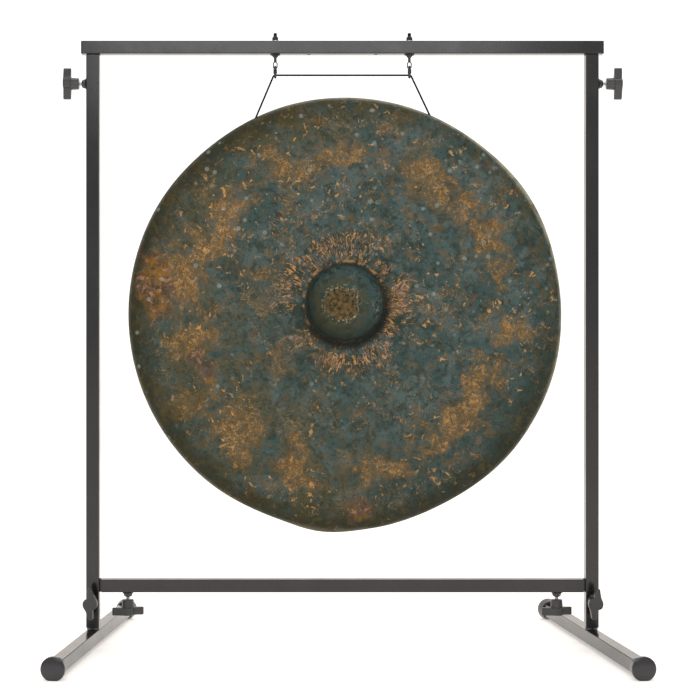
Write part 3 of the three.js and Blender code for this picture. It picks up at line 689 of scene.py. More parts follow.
def gong_streaks(coats, tones):
    """Copper and tan streaks that run out from the boss in clusters"""
    bearing = coats.vector("NORMALIZE", coats.boss_place)
    drawn = coats.vector("ADD", coats.vector("SCALE", bearing, scale=4.5),
                         coats.vector("SCALE", coats.boss_place, scale=10.0))
    around = coats.away(coats.boss_radius, *STREAK_RING)
    coats.coat(coats.times(around, coats.cloud(44.0, 0.44, 0.58, 10.0), 0.8), tones.patina_dark)
    raw = coats.noise(drawn, 2.4, 8.0, 0.72, 2.0)
    clusters = coats.times(coats.cloud(14.0, 0.44, 0.54), coats.cloud(50.0, 0.38, 0.48, 6.0))
    lines = coats.step(coats.plus(raw, coats.times(around, 0.08)), 0.6, 0.64)
    streaks = coats.math("MINIMUM", coats.times(lines, around, clusters, 2.4), 1.0)
    copper_to_tan = coats.blend(coats.cloud(45.0, 0.42, 0.58), tones.copper, tones.tan)
    coats.coat(coats.times(streaks, 0.85), copper_to_tan)
    return streaks


def gong_boss(coats, tones):
    """The boss: painted light on its upper right and painted shade below, with a black foot of painted shade
    in its groove that is thickest below as a painted shadow
    """
    # Painted light and shade: the upper right of the boss takes the lit patina, its lower side the shaded
    # olive
    up = coats.towards(0.6, 0.8, -0.12, 0.16)
    shaded = coats.blend(coats.cloud(40.0, 0.4, 0.6), tones.olive_dark, tones.patina_dark)
    crown = coats.blend(up, shaded, tones.patina)
    on_boss = coats.step(coats.boss_radius, *BOSS_EDGE)
    coats.coat(on_boss, coats.blend(coats.cloud(60.0, 0.44, 0.64, 10.0), crown, tones.patina_dark))
    halo = coats.step(coats.spot_radius, 0.16, 0.08)
    coats.coat(coats.times(halo, coats.cloud(48.0, 0.36, 0.6), 0.7), tones.olive)
    # Pale arcs on the boss: partly scratches, partly a painted sheen, so they show only on its lit upper side
    scratch_and_sheen_arcs = coats.times(coats.scratches(30.0, 0.01, 0.3), on_boss, up, coats.cloud(20.0, 0.45, 0.6))
    coats.coat(coats.times(scratch_and_sheen_arcs, 0.5), tones.khaki)

    # Painted shade: a black ring in the groove at the boss's foot, with a painted shadow that widens and
    # darkens it towards the lower right
    down = coats.step(coats.vector("DOT_PRODUCT", coats.boss_place, (0.3, 0, -0.95)), -0.12, 0.14)
    middle, half = BOSS_FOOT_SHADE_RING
    foot = coats.away(coats.plus(coats.boss_radius, coats.times(down, -0.008)), middle,
                      coats.plus(coats.times(down, 0.012), half))
    foot = coats.times(coats.math("POWER", foot, 0.6), coats.plus(coats.times(down, 0.4), 0.55))
    coats.coat(foot, BOSS_FOOT_SHADE)
    flecks = coats.times(coats.away(coats.boss_radius, *FLECK_RING), coats.cloud(60.0, 0.48, 0.58),
                         coats.math("SUBTRACT", 1.0, down))
    coats.coat(coats.times(flecks, 0.7), tones.tan)


def gong_spot(coats, tones):
    """The brown spot where the boss is struck, with a broken pale ring"""
    spot_reach = coats.plus(coats.spot_radius, coats.ragged(0.05, 60.0, 6.0))
    middle_tone = coats.blend(coats.cloud(130.0, 0.4, 0.62, 10.0), tones.brown, tones.olive_dark)
    coats.coat(coats.times(coats.step(spot_reach, 0.09, 0.06), 0.9), middle_tone)
    ring = coats.times(coats.away(spot_reach, *SPOT_RING), coats.cloud(190.0, 0.52, 0.6))
    coats.coat(coats.times(ring, 0.8), tones.khaki)


def patina_bronze():
    """Beaten bronze under a blue-green patina"""
    material, _, shader = start_material("patina_bronze")
    if shader is None:
        return material
    coats, tones = Patina(material.node_tree), colours()
    gong_ground(coats, tones)
    haze = gong_clouds(coats, tones)
    gong_rim(coats, tones)
    gong_patches(coats, tones)
    streaks = gong_streaks(coats, tones)
    gong_boss(coats, tones)
    gong_spot(coats, tones)
    inside = coats.times(coats.step(coats.depth, GONG_FACE_DEPTH, GONG_SHOULDER), 0.6)
    coats.coat(inside, coats.blend(coats.cloud(12.0, 0.4, 0.6), tones.patina_dark, tones.olive))

    dents = coats.node("ShaderNodeTexVoronoi", {"feature": "SMOOTH_F1"}, Vector=coats.place, Scale=26.0,
                       Smoothness=1.0)
    relief = coats.plus(coats.times(dents.outputs["Distance"], 1.6 * MM),
                        coats.times(coats.noise(coats.place, 260.0, 8.0, 0.7), 0.6 * MM),
                        coats.times(coats.plus(streaks, haze), 0.3 * MM))
    bump = coats.node("ShaderNodeBump", Height=relief, Distance=1.0, Strength=0.8)
    gloss = coats.noise(coats.place, 20.0, 6.0, 0.6)
    coats.put(shader.inputs["Base Color"], coats.colour)
    coats.put(shader.inputs["Normal"], bump.outputs[0])
    coats.put(shader.inputs["Roughness"], coats.step(gloss, 0.3, 0.7, 0.45, 0.65))
    shader.inputs["Specular IOR Level"].default_value = 0.12
    return material


def pale_floor():
    """A pale floor that gives off a little light, so that shadows stay faint"""
    material, tree, shader = start_material("pale_floor")
    if shader is None:
        return material
    mottle = tree.math("MULTIPLY", tree.noise(tree.object_place(), 1.5, 3.0), 0.03)
    tree.put(shader.inputs["Base Color"], tree.blend(mottle, colours().floor, FLOOR_MOTTLE))
    shader.inputs["Emission Color"].default_value = FLOOR_GLOW
    shader.inputs["Emission Strength"].default_value = FLOOR_GLOW_STRENGTH
    shader.inputs["Roughness"].default_value = 0.9
    shader.inputs["Specular IOR Level"].default_value = 0.0
    return material


# Mesh helpers

def object_from(bm, name):
    """Turns a bmesh into a linked object, and frees it"""
    mesh = bpy.data.meshes.new(name)
    bm.to_mesh(mesh)
    bm.free()
    item = bpy.data.objects.new(name, mesh)
    bpy.context.scene.collection.objects.link(item)
    return item


def dress(node, bm, material, body, sharp=35, weighted=True):
    """Makes the finished piece that stands for a CAD node and rides on its body"""
    piece = object_from(bm, f"{node}_dressed")
    piece.data.materials.append(material)
    for face in piece.data.polygons:
        face.use_smooth = True
    piece.data.set_sharp_from_angle(angle=math.radians(sharp))
    if weighted:
        even = piece.modifiers.new("even_shading", "WEIGHTED_NORMAL")
        even.keep_sharp = True
    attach(piece, body)
    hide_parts(node)


def placed(origin, outward, along):
    """A matrix that takes local Z out of a face and local Y along the tube"""
    across = along.cross(outward)
    return Matrix.Translation(origin) @ Matrix((across, along, outward)).transposed().to_4x4()


def spun(points, steps=64):
    """A closed solid turned about Z from (radius, height) points"""
    bm = bmesh.new()
    verts = [bm.verts.new((radius, 0, height)) for radius, height in points]
    edges = [bm.edges.new(pair) for pair in zip(verts, verts[1:])]
    bmesh.ops.spin(bm, geom=verts + edges, cent=(0, 0, 0), axis=(0, 0, 1), angle=2 * math.pi, steps=steps,
                   use_merge=True)
    bmesh.ops.remove_doubles(bm, verts=bm.verts, dist=1e-6)
    bmesh.ops.recalc_face_normals(bm, faces=bm.faces)
    return bm


def rounded_profile(points, radius, segments=3):
    """Rounds the inner corners of a line of (radius, height) points"""
    bm = bmesh.new()
    verts = [bm.verts.new((x, 0, z)) for x, z in points]
    for pair in zip(verts, verts[1:]):
        bm.edges.new(pair)
    bmesh.ops.bevel(bm, geom=verts[1:-1], offset=radius, segments=segments, profile=0.5, affect="VERTICES",
                    material=-1)
    first = Vector((points[0][0], 0, points[0][1]))
    start = next(vert for vert in bm.verts if (vert.co - first).length < 1e-7)
    ordered, last, current = [start], None, start
    while True:
        ahead = [edge for edge in current.link_edges if edge is not last]
        if not ahead:
            break
        last = ahead[0]
        current = last.other_vert(current)
        ordered.append(current)
    line = [(vert.co.x, vert.co.z) for vert in ordered]
    bm.free()
    return line


def bar_section(width, corner, segments=6):
    """A square face with rounded corners, on the ground plane"""
    bm = bmesh.new()
    half = width / 2
    bmesh.ops.create_grid(bm, x_segments=1, y_segments=1, size=half)
    bmesh.ops.bevel(bm, geom=bm.verts[:], offset=corner, segments=segments, profile=0.5, affect="VERTICES",
                    material=-1)
    return bm


def round_tube(bore, radius, height):
    """A round tube up Z from the ground plane, with its rims softened"""
    half = height / 2
    outline = [(bore, half), (bore, 0), (radius, 0), (radius, height), (bore, height), (bore, half + SLIT)]
    return spun(rounded_profile(outline, RIM_EDGE))


def verts_of(geom):
    return [item for item in geom if isinstance(item, bmesh.types.BMVert)]


def edges_of(geom):
    return [item for item in geom if isinstance(item, bmesh.types.BMEdge)]


def raise_faces(bm, length):
    """Draws the flat faces up into a closed solid"""
    made = bmesh.ops.extrude_face_region(bm, geom=bm.faces[:], use_keep_orig=True)
    bmesh.ops.translate(bm, verts=verts_of(made["geom"]), vec=(0, 0, length))
    bmesh.ops.recalc_face_normals(bm, faces=bm.faces)


def soften(bm, offset, angle=50, segments=2):
    """Breaks the sharp edges"""
    limit = math.radians(angle)
    edges = [edge for edge in bm.edges if edge.is_manifold and edge.calc_face_angle() > limit]
    bmesh.ops.bevel(bm, geom=edges, offset=offset, segments=segments, profile=0.5, affect="EDGES",
                    material=-1)


def square_tube(length, width, wall, corner):
    """A square tube up Z from the ground plane, open at both ends"""
    outside = bar_section(width, corner)
    raise_faces(outside, length)
    bore = bar_section(width - 2 * wall, max(corner - wall, TUBE_EDGE))
    raise_faces(bore, length + 2 * wall)
    shifted(bore, z=-wall)
    tube = combined(outside, [bore], "DIFFERENCE")
    soften(tube, TUBE_EDGE)
    return tube


def combined(bm, tools, operation):
    """A bmesh after a boolean with each of the tools, which are used up"""
    body = object_from(bm, "blank")
    cutters = [object_from(tool, "tool") for tool in tools]
    for cutter in cutters:
        step = body.modifiers.new("step", "BOOLEAN")
        step.operation = operation
        step.solver = "EXACT"
        step.object = cutter
    graph = bpy.context.evaluated_depsgraph_get()
    graph.update()
    result = bmesh.new()
    result.from_mesh(body.evaluated_get(graph).to_mesh())
    for item in (body, *cutters):
        mesh = item.data
        bpy.data.objects.remove(item)
        bpy.data.meshes.remove(mesh)
    bmesh.ops.remove_doubles(result, verts=result.verts, dist=1e-7)
    return result


def moved(bm, matrix):
    bmesh.ops.transform(bm, matrix=matrix, verts=bm.verts)
    return bm


def shifted(bm, x=0.0, z=0.0):
    return moved(bm, Matrix.Translation((x, 0, z)))


def pin(radius, bottom, top, segments=32):
    bm = bmesh.new()
    bmesh.ops.create_cone(bm, cap_ends=True, segments=segments, radius1=radius, radius2=radius,
                          depth=top - bottom, matrix=Matrix.Translation((0, 0, (top + bottom) / 2)))
    return bm


def hexagon(flats, bottom, top):
    return pin(flats / math.sqrt(3), bottom, top, 6)


def swept(path, radius, sides, closed=False, laid=False):
    """A round wire along a path of points, with capped ends or joined to itself"""
    bm = bmesh.new()
    count = len(path)

    def heading(index):
        if closed:
            return (path[(index + 1) % count] - path[index - 1]).normalized()
        return (path[min(index + 1, count - 1)] - path[max(index - 1, 0)]).normalized()

    first = heading(0)
    across = BACK.cross(first) if abs(first.dot(BACK)) < 0.7 else RIGHT.cross(first)
    rings = []
    before = None
    for index, point in enumerate(path):
        ahead = heading(index)
        across = (across - ahead * across.dot(ahead)).normalized()
        here = Matrix.Translation(point) @ Matrix((across, ahead.cross(across), ahead)).transposed().to_4x4()
        if before is None:
            made = bmesh.ops.create_circle(bm, cap_ends=False, segments=sides, radius=radius, matrix=here)
            ring = made["verts"]
        else:
            loop = [edge for edge in bm.edges if edge.verts[0] in last and edge.verts[1] in last]
            made = bmesh.ops.extrude_edge_only(bm, edges=loop)["geom"]
            ring = verts_of(made)
            bmesh.ops.transform(bm, matrix=here @ before.inverted(), verts=ring)
        rings.append(ring)
        last = set(ring)
        before = here
    open_edges = [edge for edge in bm.edges if edge.is_boundary]
    if closed:
        bmesh.ops.bridge_loops(bm, edges=open_edges)
    else:
        bmesh.ops.holes_fill(bm, edges=open_edges, sides=sides)
    bmesh.ops.recalc_face_normals(bm, faces=bm.faces)
    if laid:
        lay_out(bm, rings, path)
    return bm


def lay_out(bm, rings, path):
    """Lays the cord's own coordinates on it: round the girth, and metres along its length"""
    layer = bm.loops.layers.uv.new("lay")
    along = [0.0]
    for start, end in zip(path, path[1:]):
        along.append(along[-1] + (end - start).length)
    place = {}
    for distance, ring in zip(along, rings):
        for number, vert in enumerate(ring):
            place[vert] = (number / len(ring), distance)
    for face in bm.faces:
        known = [place[vert][0] for vert in face.verts]
        wraps = max(known) - min(known) > 0.5
        for loop in face.loops:
            girth, distance = place[loop.vert]
            loop[layer].uv = (girth + 1 if wraps and girth < 0.5 else girth, distance)


def arc(centre, first, second, radius, start, stop, steps):
    """Points of an arc in the plane of two directions, between two angles in degrees"""
    points = []
    for step in range(steps + 1):
        angle = math.radians(start + (stop - start) * step / steps)
        points.append(centre + (first * math.cos(angle) + second * math.sin(angle)) * radius)
    return points


def threaded(bottom, top, radius, chamfer):
    """A threaded rod up Z, closed at both ends"""
    pitch, depth = sizes().thread_pitch, sizes().thread_depth
    sides, per_turn = 32, 8
    rings = max(int((top - bottom) / pitch * per_turn), 2)
    bm = bmesh.new()
    bmesh.ops.create_circle(bm, cap_ends=False, segments=sides, radius=radius,
                            matrix=Matrix.Translation((0, 0, bottom)))
    edges = bm.edges[:]
    for _ in range(rings):
        made = bmesh.ops.extrude_edge_only(bm, edges=edges)["geom"]
        edges = edges_of(made)
        bmesh.ops.translate(bm, verts=verts_of(made), vec=(0, 0, (top - bottom) / rings))
    for vert in bm.verts:
        turn = math.atan2(vert.co.y, vert.co.x) / (2 * math.pi)
        wave = abs(((vert.co.z / pitch - turn) % 1) * 2 - 1)
        cut = depth * max(0, min(1, (wave - 0.1) / 0.8))
        end = max(0, chamfer - (vert.co.z - bottom), chamfer - (top - vert.co.z))
        reach = max(radius - max(cut, end), radius / 2)
        vert.co.x, vert.co.y = (reach * math.cos(2 * math.pi * turn), reach * math.sin(2 * math.pi * turn))
    bmesh.ops.holes_fill(bm, edges=[edge for edge in bm.edges if edge.is_boundary], sides=sides)
    bmesh.ops.recalc_face_normals(bm, faces=bm.faces)
    return bm


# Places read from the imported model

def ends(node):
    """The low and the high corner of a CAD node's box"""
    return [Vector(corner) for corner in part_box(node)]


def middle(node):
    low, high = ends(node)
    return (low + high) / 2


def clamp_place(name):
    """The clamp's matrix at the tube's face, and where its knob starts above that face"""
    tube, outward, along = CLAMPS[name]
    low, high = ends(tube)
    screw = middle(f"{name}_screw")
    face = max(low.dot(outward), high.dot(outward))
    origin = screw + outward * (face - screw.dot(outward))
    knob_low, knob_high = ends(f"{name}_knob")
    start = min(knob_low.dot(outward), knob_high.dot(outward)) - face
    return placed(origin, outward, along), start


def foot_place(side):
    name, sign = side
    turn = Matrix.Rotation(sign * TOE_OUT[name], 4, "Z")
    return Matrix.Translation((middle(f"foot_tube_{name}").x, 0, FOOT_AXIS_HEIGHT)) @ turn


# Operators, one for each group of pieces

class MakeStage(bpy.types.Operator):
    """Floor, light and camera"""

    bl_idname = "gong_stand.stage"
    bl_label = "Stage"

    def execute(self, context):
        scene = context.scene
        scene.view_settings.view_transform = "Standard"
        floor = bmesh.new()
        bmesh.ops.create_circle(floor, cap_ends=True, segments=96, radius=sizes().floor_radius)
        ground = object_from(floor, "floor")
        ground.data.materials.append(pale_floor())

        scene.world = self.studio()
        for softbox in SOFTBOXES:
            self.softbox(scene, *softbox)

        camera = bpy.data.cameras.new("camera")
        camera.sensor_width = SENSOR
        camera.lens = FOCAL_PX / FRAME_PX * SENSOR
        camera.shift_x = (FRAME_PX / 2 - CENTRE_PX[0]) / FRAME_PX
        camera.shift_y = (CENTRE_PX[1] - FRAME_PX / 2) / FRAME_PX
        camera.clip_end = 200
        eye = bpy.data.objects.new("camera", camera)
        eye.location = CAMERA_AT
        eye.rotation_euler = (math.pi / 2, 0, 0)
        scene.collection.objects.link(eye)
        scene.camera = eye
        return {"FINISHED"}

    def studio(self):
        """Soft light all round, dimmer in front than behind; the camera sees it plain white"""
        world = bpy.data.worlds.new("studio")
        world.use_nodes = True
        tree = Tree(world.node_tree)
        way = tree.node("ShaderNodeSeparateXYZ", Vector=tree.node("ShaderNodeTexCoord").outputs["Generated"])
        behind = tree.step(way.outputs[1], -0.3, 0.5)
        seen = tree.node("ShaderNodeLightPath").outputs["Is Camera Ray"]
        glow = world.node_tree.nodes["Background"].inputs
        tint = tree.blend(behind, WHITE, colours().studio)
        tree.put(glow["Color"], tree.blend(seen, tint, WHITE))
        strength = tree.step(behind, 0.0, 1.0, LIGHT_IN_FRONT, LIGHT_BEHIND)
        tree.put(glow["Strength"], tree.math("MAXIMUM", strength, seen))
        return world

    def softbox(self, scene, name, at, size, brightness, aim):
        """An area light that glows with the given brightness"""
        data = bpy.data.lights.new(name, "AREA")
        data.shape = "RECTANGLE"
        data.size, data.size_y = size
        data.energy = brightness * math.pi * size[0] * size[1]
        light = bpy.data.objects.new(name, data)
        light.location = at
        light.rotation_euler = (Vector(aim) - Vector(at)).to_track_quat("-Z", "Y").to_euler()
        scene.collection.objects.link(light)


class MakeTubes(bpy.types.Operator):
    """Uprights, bars, spigots and foot tubes"""

    bl_idname = "gong_stand.tubes"
    bl_label = "Tubes"

    def execute(self, context):
        for node, body, axis in self.straight():
            low, high = ends(node)
            thin = "spigot" in node or "stub" in node
            width, corner = (INNER_WIDTH, INNER_CORNER) if thin else (TUBE_WIDTH, TUBE_CORNER)
            length = (high - low).dot(axis)
            start = (low + high) / 2 - axis * length / 2
            across = UP if axis is not UP else BACK
            bm = moved(square_tube(length, width, TUBE_WALL, corner), placed(start, axis, across))
            holes = self.holes(node)
            if holes:
                bm = combined(bm, holes, "DIFFERENCE")
            dress(node, bm, black_paint(), body)
        for side in SIDES:
            name = f"foot_tube_{side[0]}"
            low, high = ends(name)
            toe_out = TOE_OUT[side[0]]
            length = (high.y - low.y - TUBE_WIDTH * math.sin(toe_out)) / math.cos(toe_out)
            bm = square_tube(length, TUBE_WIDTH, TUBE_WALL, TUBE_CORNER)
            moved(bm, foot_place(side) @ placed(-BACK * length / 2, BACK, UP))
            dress(name, bm, black_paint(), f"foot_{side[0]}")
        return {"FINISHED"}

    def straight(self):
        yield "crossbar", "top_bar", RIGHT
        yield "lower_bar", "frame", RIGHT
        for name, _ in SIDES:
            yield f"upright_{name}", "frame", UP
            yield f"spigot_{name}", "top_bar", UP
            yield f"bar_stub_{name}", "frame", RIGHT

    def holes(self, node):
        """Drills for the bolt holes of the crossbar and the screw holes of the other tubes"""
        if node == "crossbar":
            height = middle(node).z
            return [shifted(pin(HOLE_RADIUS, -TUBE_WIDTH, TUBE_WIDTH), x, height)
                    for x in (-EYE_X, -SPARE_X, SPARE_X, EYE_X)]
        drills = []
        for name, (tube, _, _) in CLAMPS.items():
            if tube == node:
                drills.append(moved(pin(HOLE_RADIUS, -TUBE_WIDTH / 2, TUBE_WIDTH / 2), clamp_place(name)[0]))
        return drills


class MakeFootStubs(bpy.types.Operator):
    """Round stubs that the uprights turn on, each with a collar that carries the upright"""

    bl_idname = "gong_stand.foot_stubs"
    bl_label = "Foot stubs"

    def execute(self, context):
        radius = INNER_WIDTH / 2
        for name, _ in SIDES:
            self.ring(f"foot_stub_{name}", radius - TUBE_WALL, radius, f"foot_{name}")
            self.ring(f"foot_collar_{name}", radius + JOINT_GAP, COLLAR_RADIUS, f"foot_{name}")
        return {"FINISHED"}

    def ring(self, node, bore, radius, body):
        low, high = ends(node)
        bm = shifted(round_tube(bore, radius, high.z - low.z), middle(node).x, low.z)
        dress(node, bm, black_paint(), body)


class MakeSeamWelds(bpy.types.Operator):
    """Beads round the spigots and the bar stubs, where they meet their tubes"""

    bl_idname = "gong_stand.seam_welds"
    bl_label = "Seam welds"

    def execute(self, context):
        for name, _ in SIDES:
            self.bead(f"spigot_weld_{name}", "top_bar", UP, BACK)
            self.bead(f"bar_weld_{name}", "frame", RIGHT, UP)
        return {"FINISHED"}

    def bead(self, node, body, axis, across):
        low, high = ends(node)
        height = (high - low).dot(axis)
        bore = INNER_WIDTH + 2 * JOINT_GAP
        bm = square_tube(height, SEAM_WIDTH, (SEAM_WIDTH - bore) / 2, TUBE_CORNER)
        outer = [vert for vert in bm.verts if max(abs(vert.co.x), abs(vert.co.y)) > bore / 2 + TUBE_EDGE]
        for vert in outer:
            out = vert.co.z / height
            vert.co.xy *= 1 - SEAM_FALL * (2 * out - 1) ** 2
        moved(bm, placed(middle(node) - axis * height / 2, axis, across))
        # The bead's darker paint is partly painted shade for the gap line at the joint
        dress(node, bm, matt_weld_and_gap_shade(), body)


class MakeWeldNuts(bpy.types.Operator):
    """Hexagon nuts welded on the tubes"""

    bl_idname = "gong_stand.weld_nuts"
    bl_label = "Weld nuts"

    def execute(self, context):
        for name in CLAMPS:
            place, _ = clamp_place(name)
            corners = NUT_FLATS / math.sqrt(3)
            nut = hexagon(NUT_FLATS, 0, NUT_HEIGHT)
            cone = spun([(0, -NUT_HEIGHT), (2 * corners, -NUT_HEIGHT),
                         (2 * corners, NUT_HEIGHT - corners - NUT_CHAMFER),
                         (corners - NUT_CHAMFER, NUT_HEIGHT), (0, NUT_HEIGHT)])
            nut = combined(nut, [cone], "INTERSECT")
            nut = combined(nut, [self.weld()], "UNION")
            nut = combined(nut, [pin(HOLE_RADIUS, -NUT_HEIGHT, 2 * NUT_HEIGHT)], "DIFFERENCE")
            moved(nut, place @ Matrix.Translation((0, 0, JOINT_GAP)))
            dress(f"{name}_weld_nut", nut, black_paint(), "frame", sharp=28)
        return {"FINISHED"}

    def weld(self):
        """A lumpy bead, drawn out along the tube"""
        rise = WELD_HEIGHT
        line = rounded_profile([(0, 0), (WELD_HALF_LENGTH, 0), (WELD_NECK_LENGTH, WELD_NECK_HEIGHT),
                                (NUT_FLATS / math.sqrt(3), rise), (0, rise)], WELD_EDGE, 4)
        bm = spun(line, 72)
        bmesh.ops.scale(bm, vec=(WELD_HALF_WIDTH / WELD_HALF_LENGTH, 1, 1), verts=bm.verts)
        noise.seed_set(WELD_LUMP_SEED)
        for vert in bm.verts:
            if WELD_LEVEL_EDGE < vert.co.z < rise - WELD_LEVEL_EDGE:
                vert.co += noise.noise_vector(vert.co * WELD_LUMPS_PER_METRE) * WELD_LUMP
        return bm


class MakeKnobs(bpy.types.Operator):
    """Two-winged knobs of the clamp screws"""

    bl_idname = "gong_stand.knobs"
    bl_label = "Knobs"

    def execute(self, context):
        for name in CLAMPS:
            place, start = clamp_place(name)
            turn = Matrix.Rotation(KNOB_TURNS.get(name, 0), 4, "Z")
            bm = moved(self.knob(), place @ Matrix.Translation((0, 0, start)) @ turn)
            dress(f"{name}_knob", bm, knob_plastic(), f"{name}_knob_body", sharp=32)
        return {"FINISHED"}

    def outline(self):
        """The wing outline as a smooth closed line through its points"""
        half = [Vector((x * WING_WIDTH / 2, y * WING_SPAN / 2, 0)) for x, y in WING_SHARES]
        points = half + [-point for point in half]
        count, between = len(points), 3
        line = []
        for index in range(count):
            before, start, end, after = (points[(index + shift) % count] for shift in (-1, 0, 1, 2))
            slope = end - before
            bow = 2 * before - 5 * start + 4 * end - after
            twist = 3 * start - before - 3 * end + after
            for step in range(between):
                t = step / between
                line.append(0.5 * (2 * start + slope * t + bow * t ** 2 + twist * t ** 3))
        return line

    def knob(self):
        edge = sizes().knob_round
        bm = bmesh.new()
        bm.faces.new([bm.verts.new(point) for point in self.outline()])
        raise_faces(bm, WING_THICKNESS)
        soften(bm, edge, angle=60, segments=4)
        shifted(bm, z=HUB_LENGTH)
        hub_top = HUB_LENGTH + WING_THICKNESS - edge
        line = rounded_profile([(0, 0), (HUB_END_RADIUS, 0), (HUB_RADIUS, HUB_LENGTH), (HUB_RADIUS, hub_top),
                                (0, hub_top)], HUB_CHAMFER)
        bm = combined(bm, [spun(line, 64)], "UNION")
        return combined(bm, [pin(HOLE_RADIUS, -HUB_CHAMFER, SCREW_IN_KNOB + JOINT_GAP)], "DIFFERENCE")


class MakeScrews(bpy.types.Operator):
    """Threaded shanks of the clamp screws"""

    bl_idname = "gong_stand.screws"
    bl_label = "Screws"

    def execute(self, context):
        for name in CLAMPS:
            place, start = clamp_place(name)
            bm = moved(threaded(-SCREW_TIP, start + SCREW_IN_KNOB, SCREW_RADIUS, SCREW_CHAMFER), place)
            dress(f"{name}_screw", bm, bright_zinc(), f"{name}_screw_body", sharp=40, weighted=False)
        return {"FINISHED"}


class MakeEndCaps(bpy.types.Operator):
    """Plugs of the crossbar and round caps of the feet"""

    bl_idname = "gong_stand.end_caps"
    bl_label = "End caps"

    def execute(self, context):
        for name, sign in SIDES:
            self.plug(name, sign)
        for side in SIDES:
            for end, outward in (("front", -BACK), ("back", BACK)):
                self.foot_cap(side, end, outward)
        return {"FINISHED"}

    def plug(self, name, sign):
        node = f"crossbar_plug_{name}"
        low, high = ends(node)
        head = bar_section(TUBE_WIDTH, TUBE_CORNER)
        raise_faces(head, PLUG_HEAD)
        soften(head, PLUG_EDGE, angle=60, segments=3)
        tail = bar_section(INNER_WIDTH, INNER_CORNER)
        raise_faces(tail, -PLUG_TAIL)
        shifted(tail, z=PLUG_OVERLAP)
        plug = combined(head, [tail], "UNION")
        inner = high.x if sign < 0 else low.x
        origin = Vector((inner + sign * PLUG_TAIL, 0, middle(node).z))
        moved(plug, placed(origin, RIGHT * sign, UP))
        dress(node, plug, cap_plastic(), "top_bar")

    def foot_cap(self, side, end, outward):
        node = f"foot_cap_{side[0]}_{end}"
        steps = 12
        dome = [(CAP_RADIUS * math.sin(angle), CAP_DOME * (1 - math.cos(angle)))
                for angle in (math.pi / 2 * step / steps for step in range(steps + 1))]
        cap = spun([*dome, (CAP_RADIUS, CAP_STRAIGHT), (CAP_NECK_RADIUS, CAP_LENGTH), (0, CAP_LENGTH)], 96)
        pocket = bar_section(TUBE_WIDTH + 2 * JOINT_GAP, TUBE_CORNER)
        raise_faces(pocket, CAP_LENGTH)
        cap = combined(cap, [shifted(pocket, z=CAP_END)], "DIFFERENCE")
        cut = bmesh.ops.bisect_plane(cap, geom=cap.verts[:] + cap.edges[:] + cap.faces[:],
                                     plane_co=(0, -FOOT_AXIS_HEIGHT, 0), plane_no=(0, -1, 0),
                                     clear_outer=True)
        bmesh.ops.holes_fill(cap, edges=edges_of(cut["geom_cut"]), sides=0)
        moved(cap, foot_place(side) @ placed(outward * FOOT_HALF_LENGTH, -outward, UP))
        dress(node, cap, cap_plastic(), f"foot_{side[0]}", sharp=30)


class MakeEyeBolts(bpy.types.Operator):
    """Eye bolts through the crossbar with their washers and lock nuts"""

    bl_idname = "gong_stand.eye_bolts"
    bl_label = "Eye bolts"

    def execute(self, context):
        for name, _ in SIDES:
            self.bolt(name)
            self.washers(name)
            self.lock_nut(name)
        return {"FINISHED"}

    def bolt(self, name):
        node = f"eye_bolt_{name}"
        low, high = ends(node)
        x = middle(node).x
        washer_low, _ = ends(f"lower_washer_{name}")
        cone_top = washer_low.z - JOINT_GAP
        cone_bottom = cone_top - CONE_HEIGHT
        wire = EYE_WIRE / 2
        bend = EYE_HOLE_WIDTH / 2 + wire
        upper = Vector((0, 0, low.z + 2 * wire + EYE_HOLE_HEIGHT + wire - bend))
        lower = Vector((0, 0, low.z + wire + bend))
        ring = swept(arc(upper, RIGHT, UP, bend, 0, 180, 16) + arc(lower, RIGHT, UP, bend, 180, 360, 16),
                     wire, 20, closed=True)
        neck_bottom = upper.z + bend - wire / 2
        neck = rounded_profile([(0, neck_bottom), (EYE_NECK_RADIUS, neck_bottom),
                                (EYE_NECK_RADIUS, cone_bottom), (CONE_RADIUS, cone_top - CONE_RIM),
                                (CONE_RADIUS, cone_top), (0, cone_top)], CONE_EDGE)
        shank = threaded(cone_top - CONE_RIM, high.z, BOLT_RADIUS, SCREW_CHAMFER)
        bm = combined(spun(neck, 48), [ring, shank], "UNION")
        shifted(bm, x)
        dress(node, bm, dull_zinc(), "top_bar", sharp=40, weighted=False)

    def washers(self, name):
        for node, material, slot in ((f"lower_washer_{name}", dull_zinc(), "dark_zinc"),
                                     (f"top_washer_{name}", bright_zinc(), "zinc")):
            low, high = ends(node)
            radius = (high.x - low.x) / 2
            bm = round_tube(HOLE_RADIUS, radius, WASHER_THICKNESS)
            shifted(bm, middle(node).x, low.z)
            dress(node, bm, material, "top_bar")

    def lock_nut(self, name):
        node = f"lock_nut_{name}"
        low, _ = ends(node)
        hex_height = LOCK_NUT_HEIGHT - LOCK_NUT_COLLAR
        corners = LOCK_NUT_FLATS / math.sqrt(3)
        bevelled = corners - LOCK_NUT_CHAMFER
        cone = spun([(0, 0), (bevelled, 0), (corners, LOCK_NUT_CHAMFER),
                     (corners, hex_height - LOCK_NUT_CHAMFER), (bevelled, hex_height), (0, hex_height)])
        nut = combined(hexagon(LOCK_NUT_FLATS, 0, hex_height), [cone], "INTERSECT")
        shoulder = LOCK_NUT_FLATS / 2 - LOCK_NUT_INSET
        crown = spun(rounded_profile([(0, CROWN_START), (shoulder, CROWN_START), (shoulder, hex_height),
                                      (LOCK_NUT_CROWN, LOCK_NUT_HEIGHT), (0, LOCK_NUT_HEIGHT)],
                                     LOCK_NUT_EDGE))
        nut = combined(nut, [crown], "UNION")
        nut = combined(nut, [pin(HOLE_RADIUS, -LOCK_NUT_HEIGHT, 2 * LOCK_NUT_HEIGHT)], "DIFFERENCE")
        shifted(nut, middle(node).x, low.z)
        dress(node, nut, dull_zinc(), "top_bar", sharp=28)


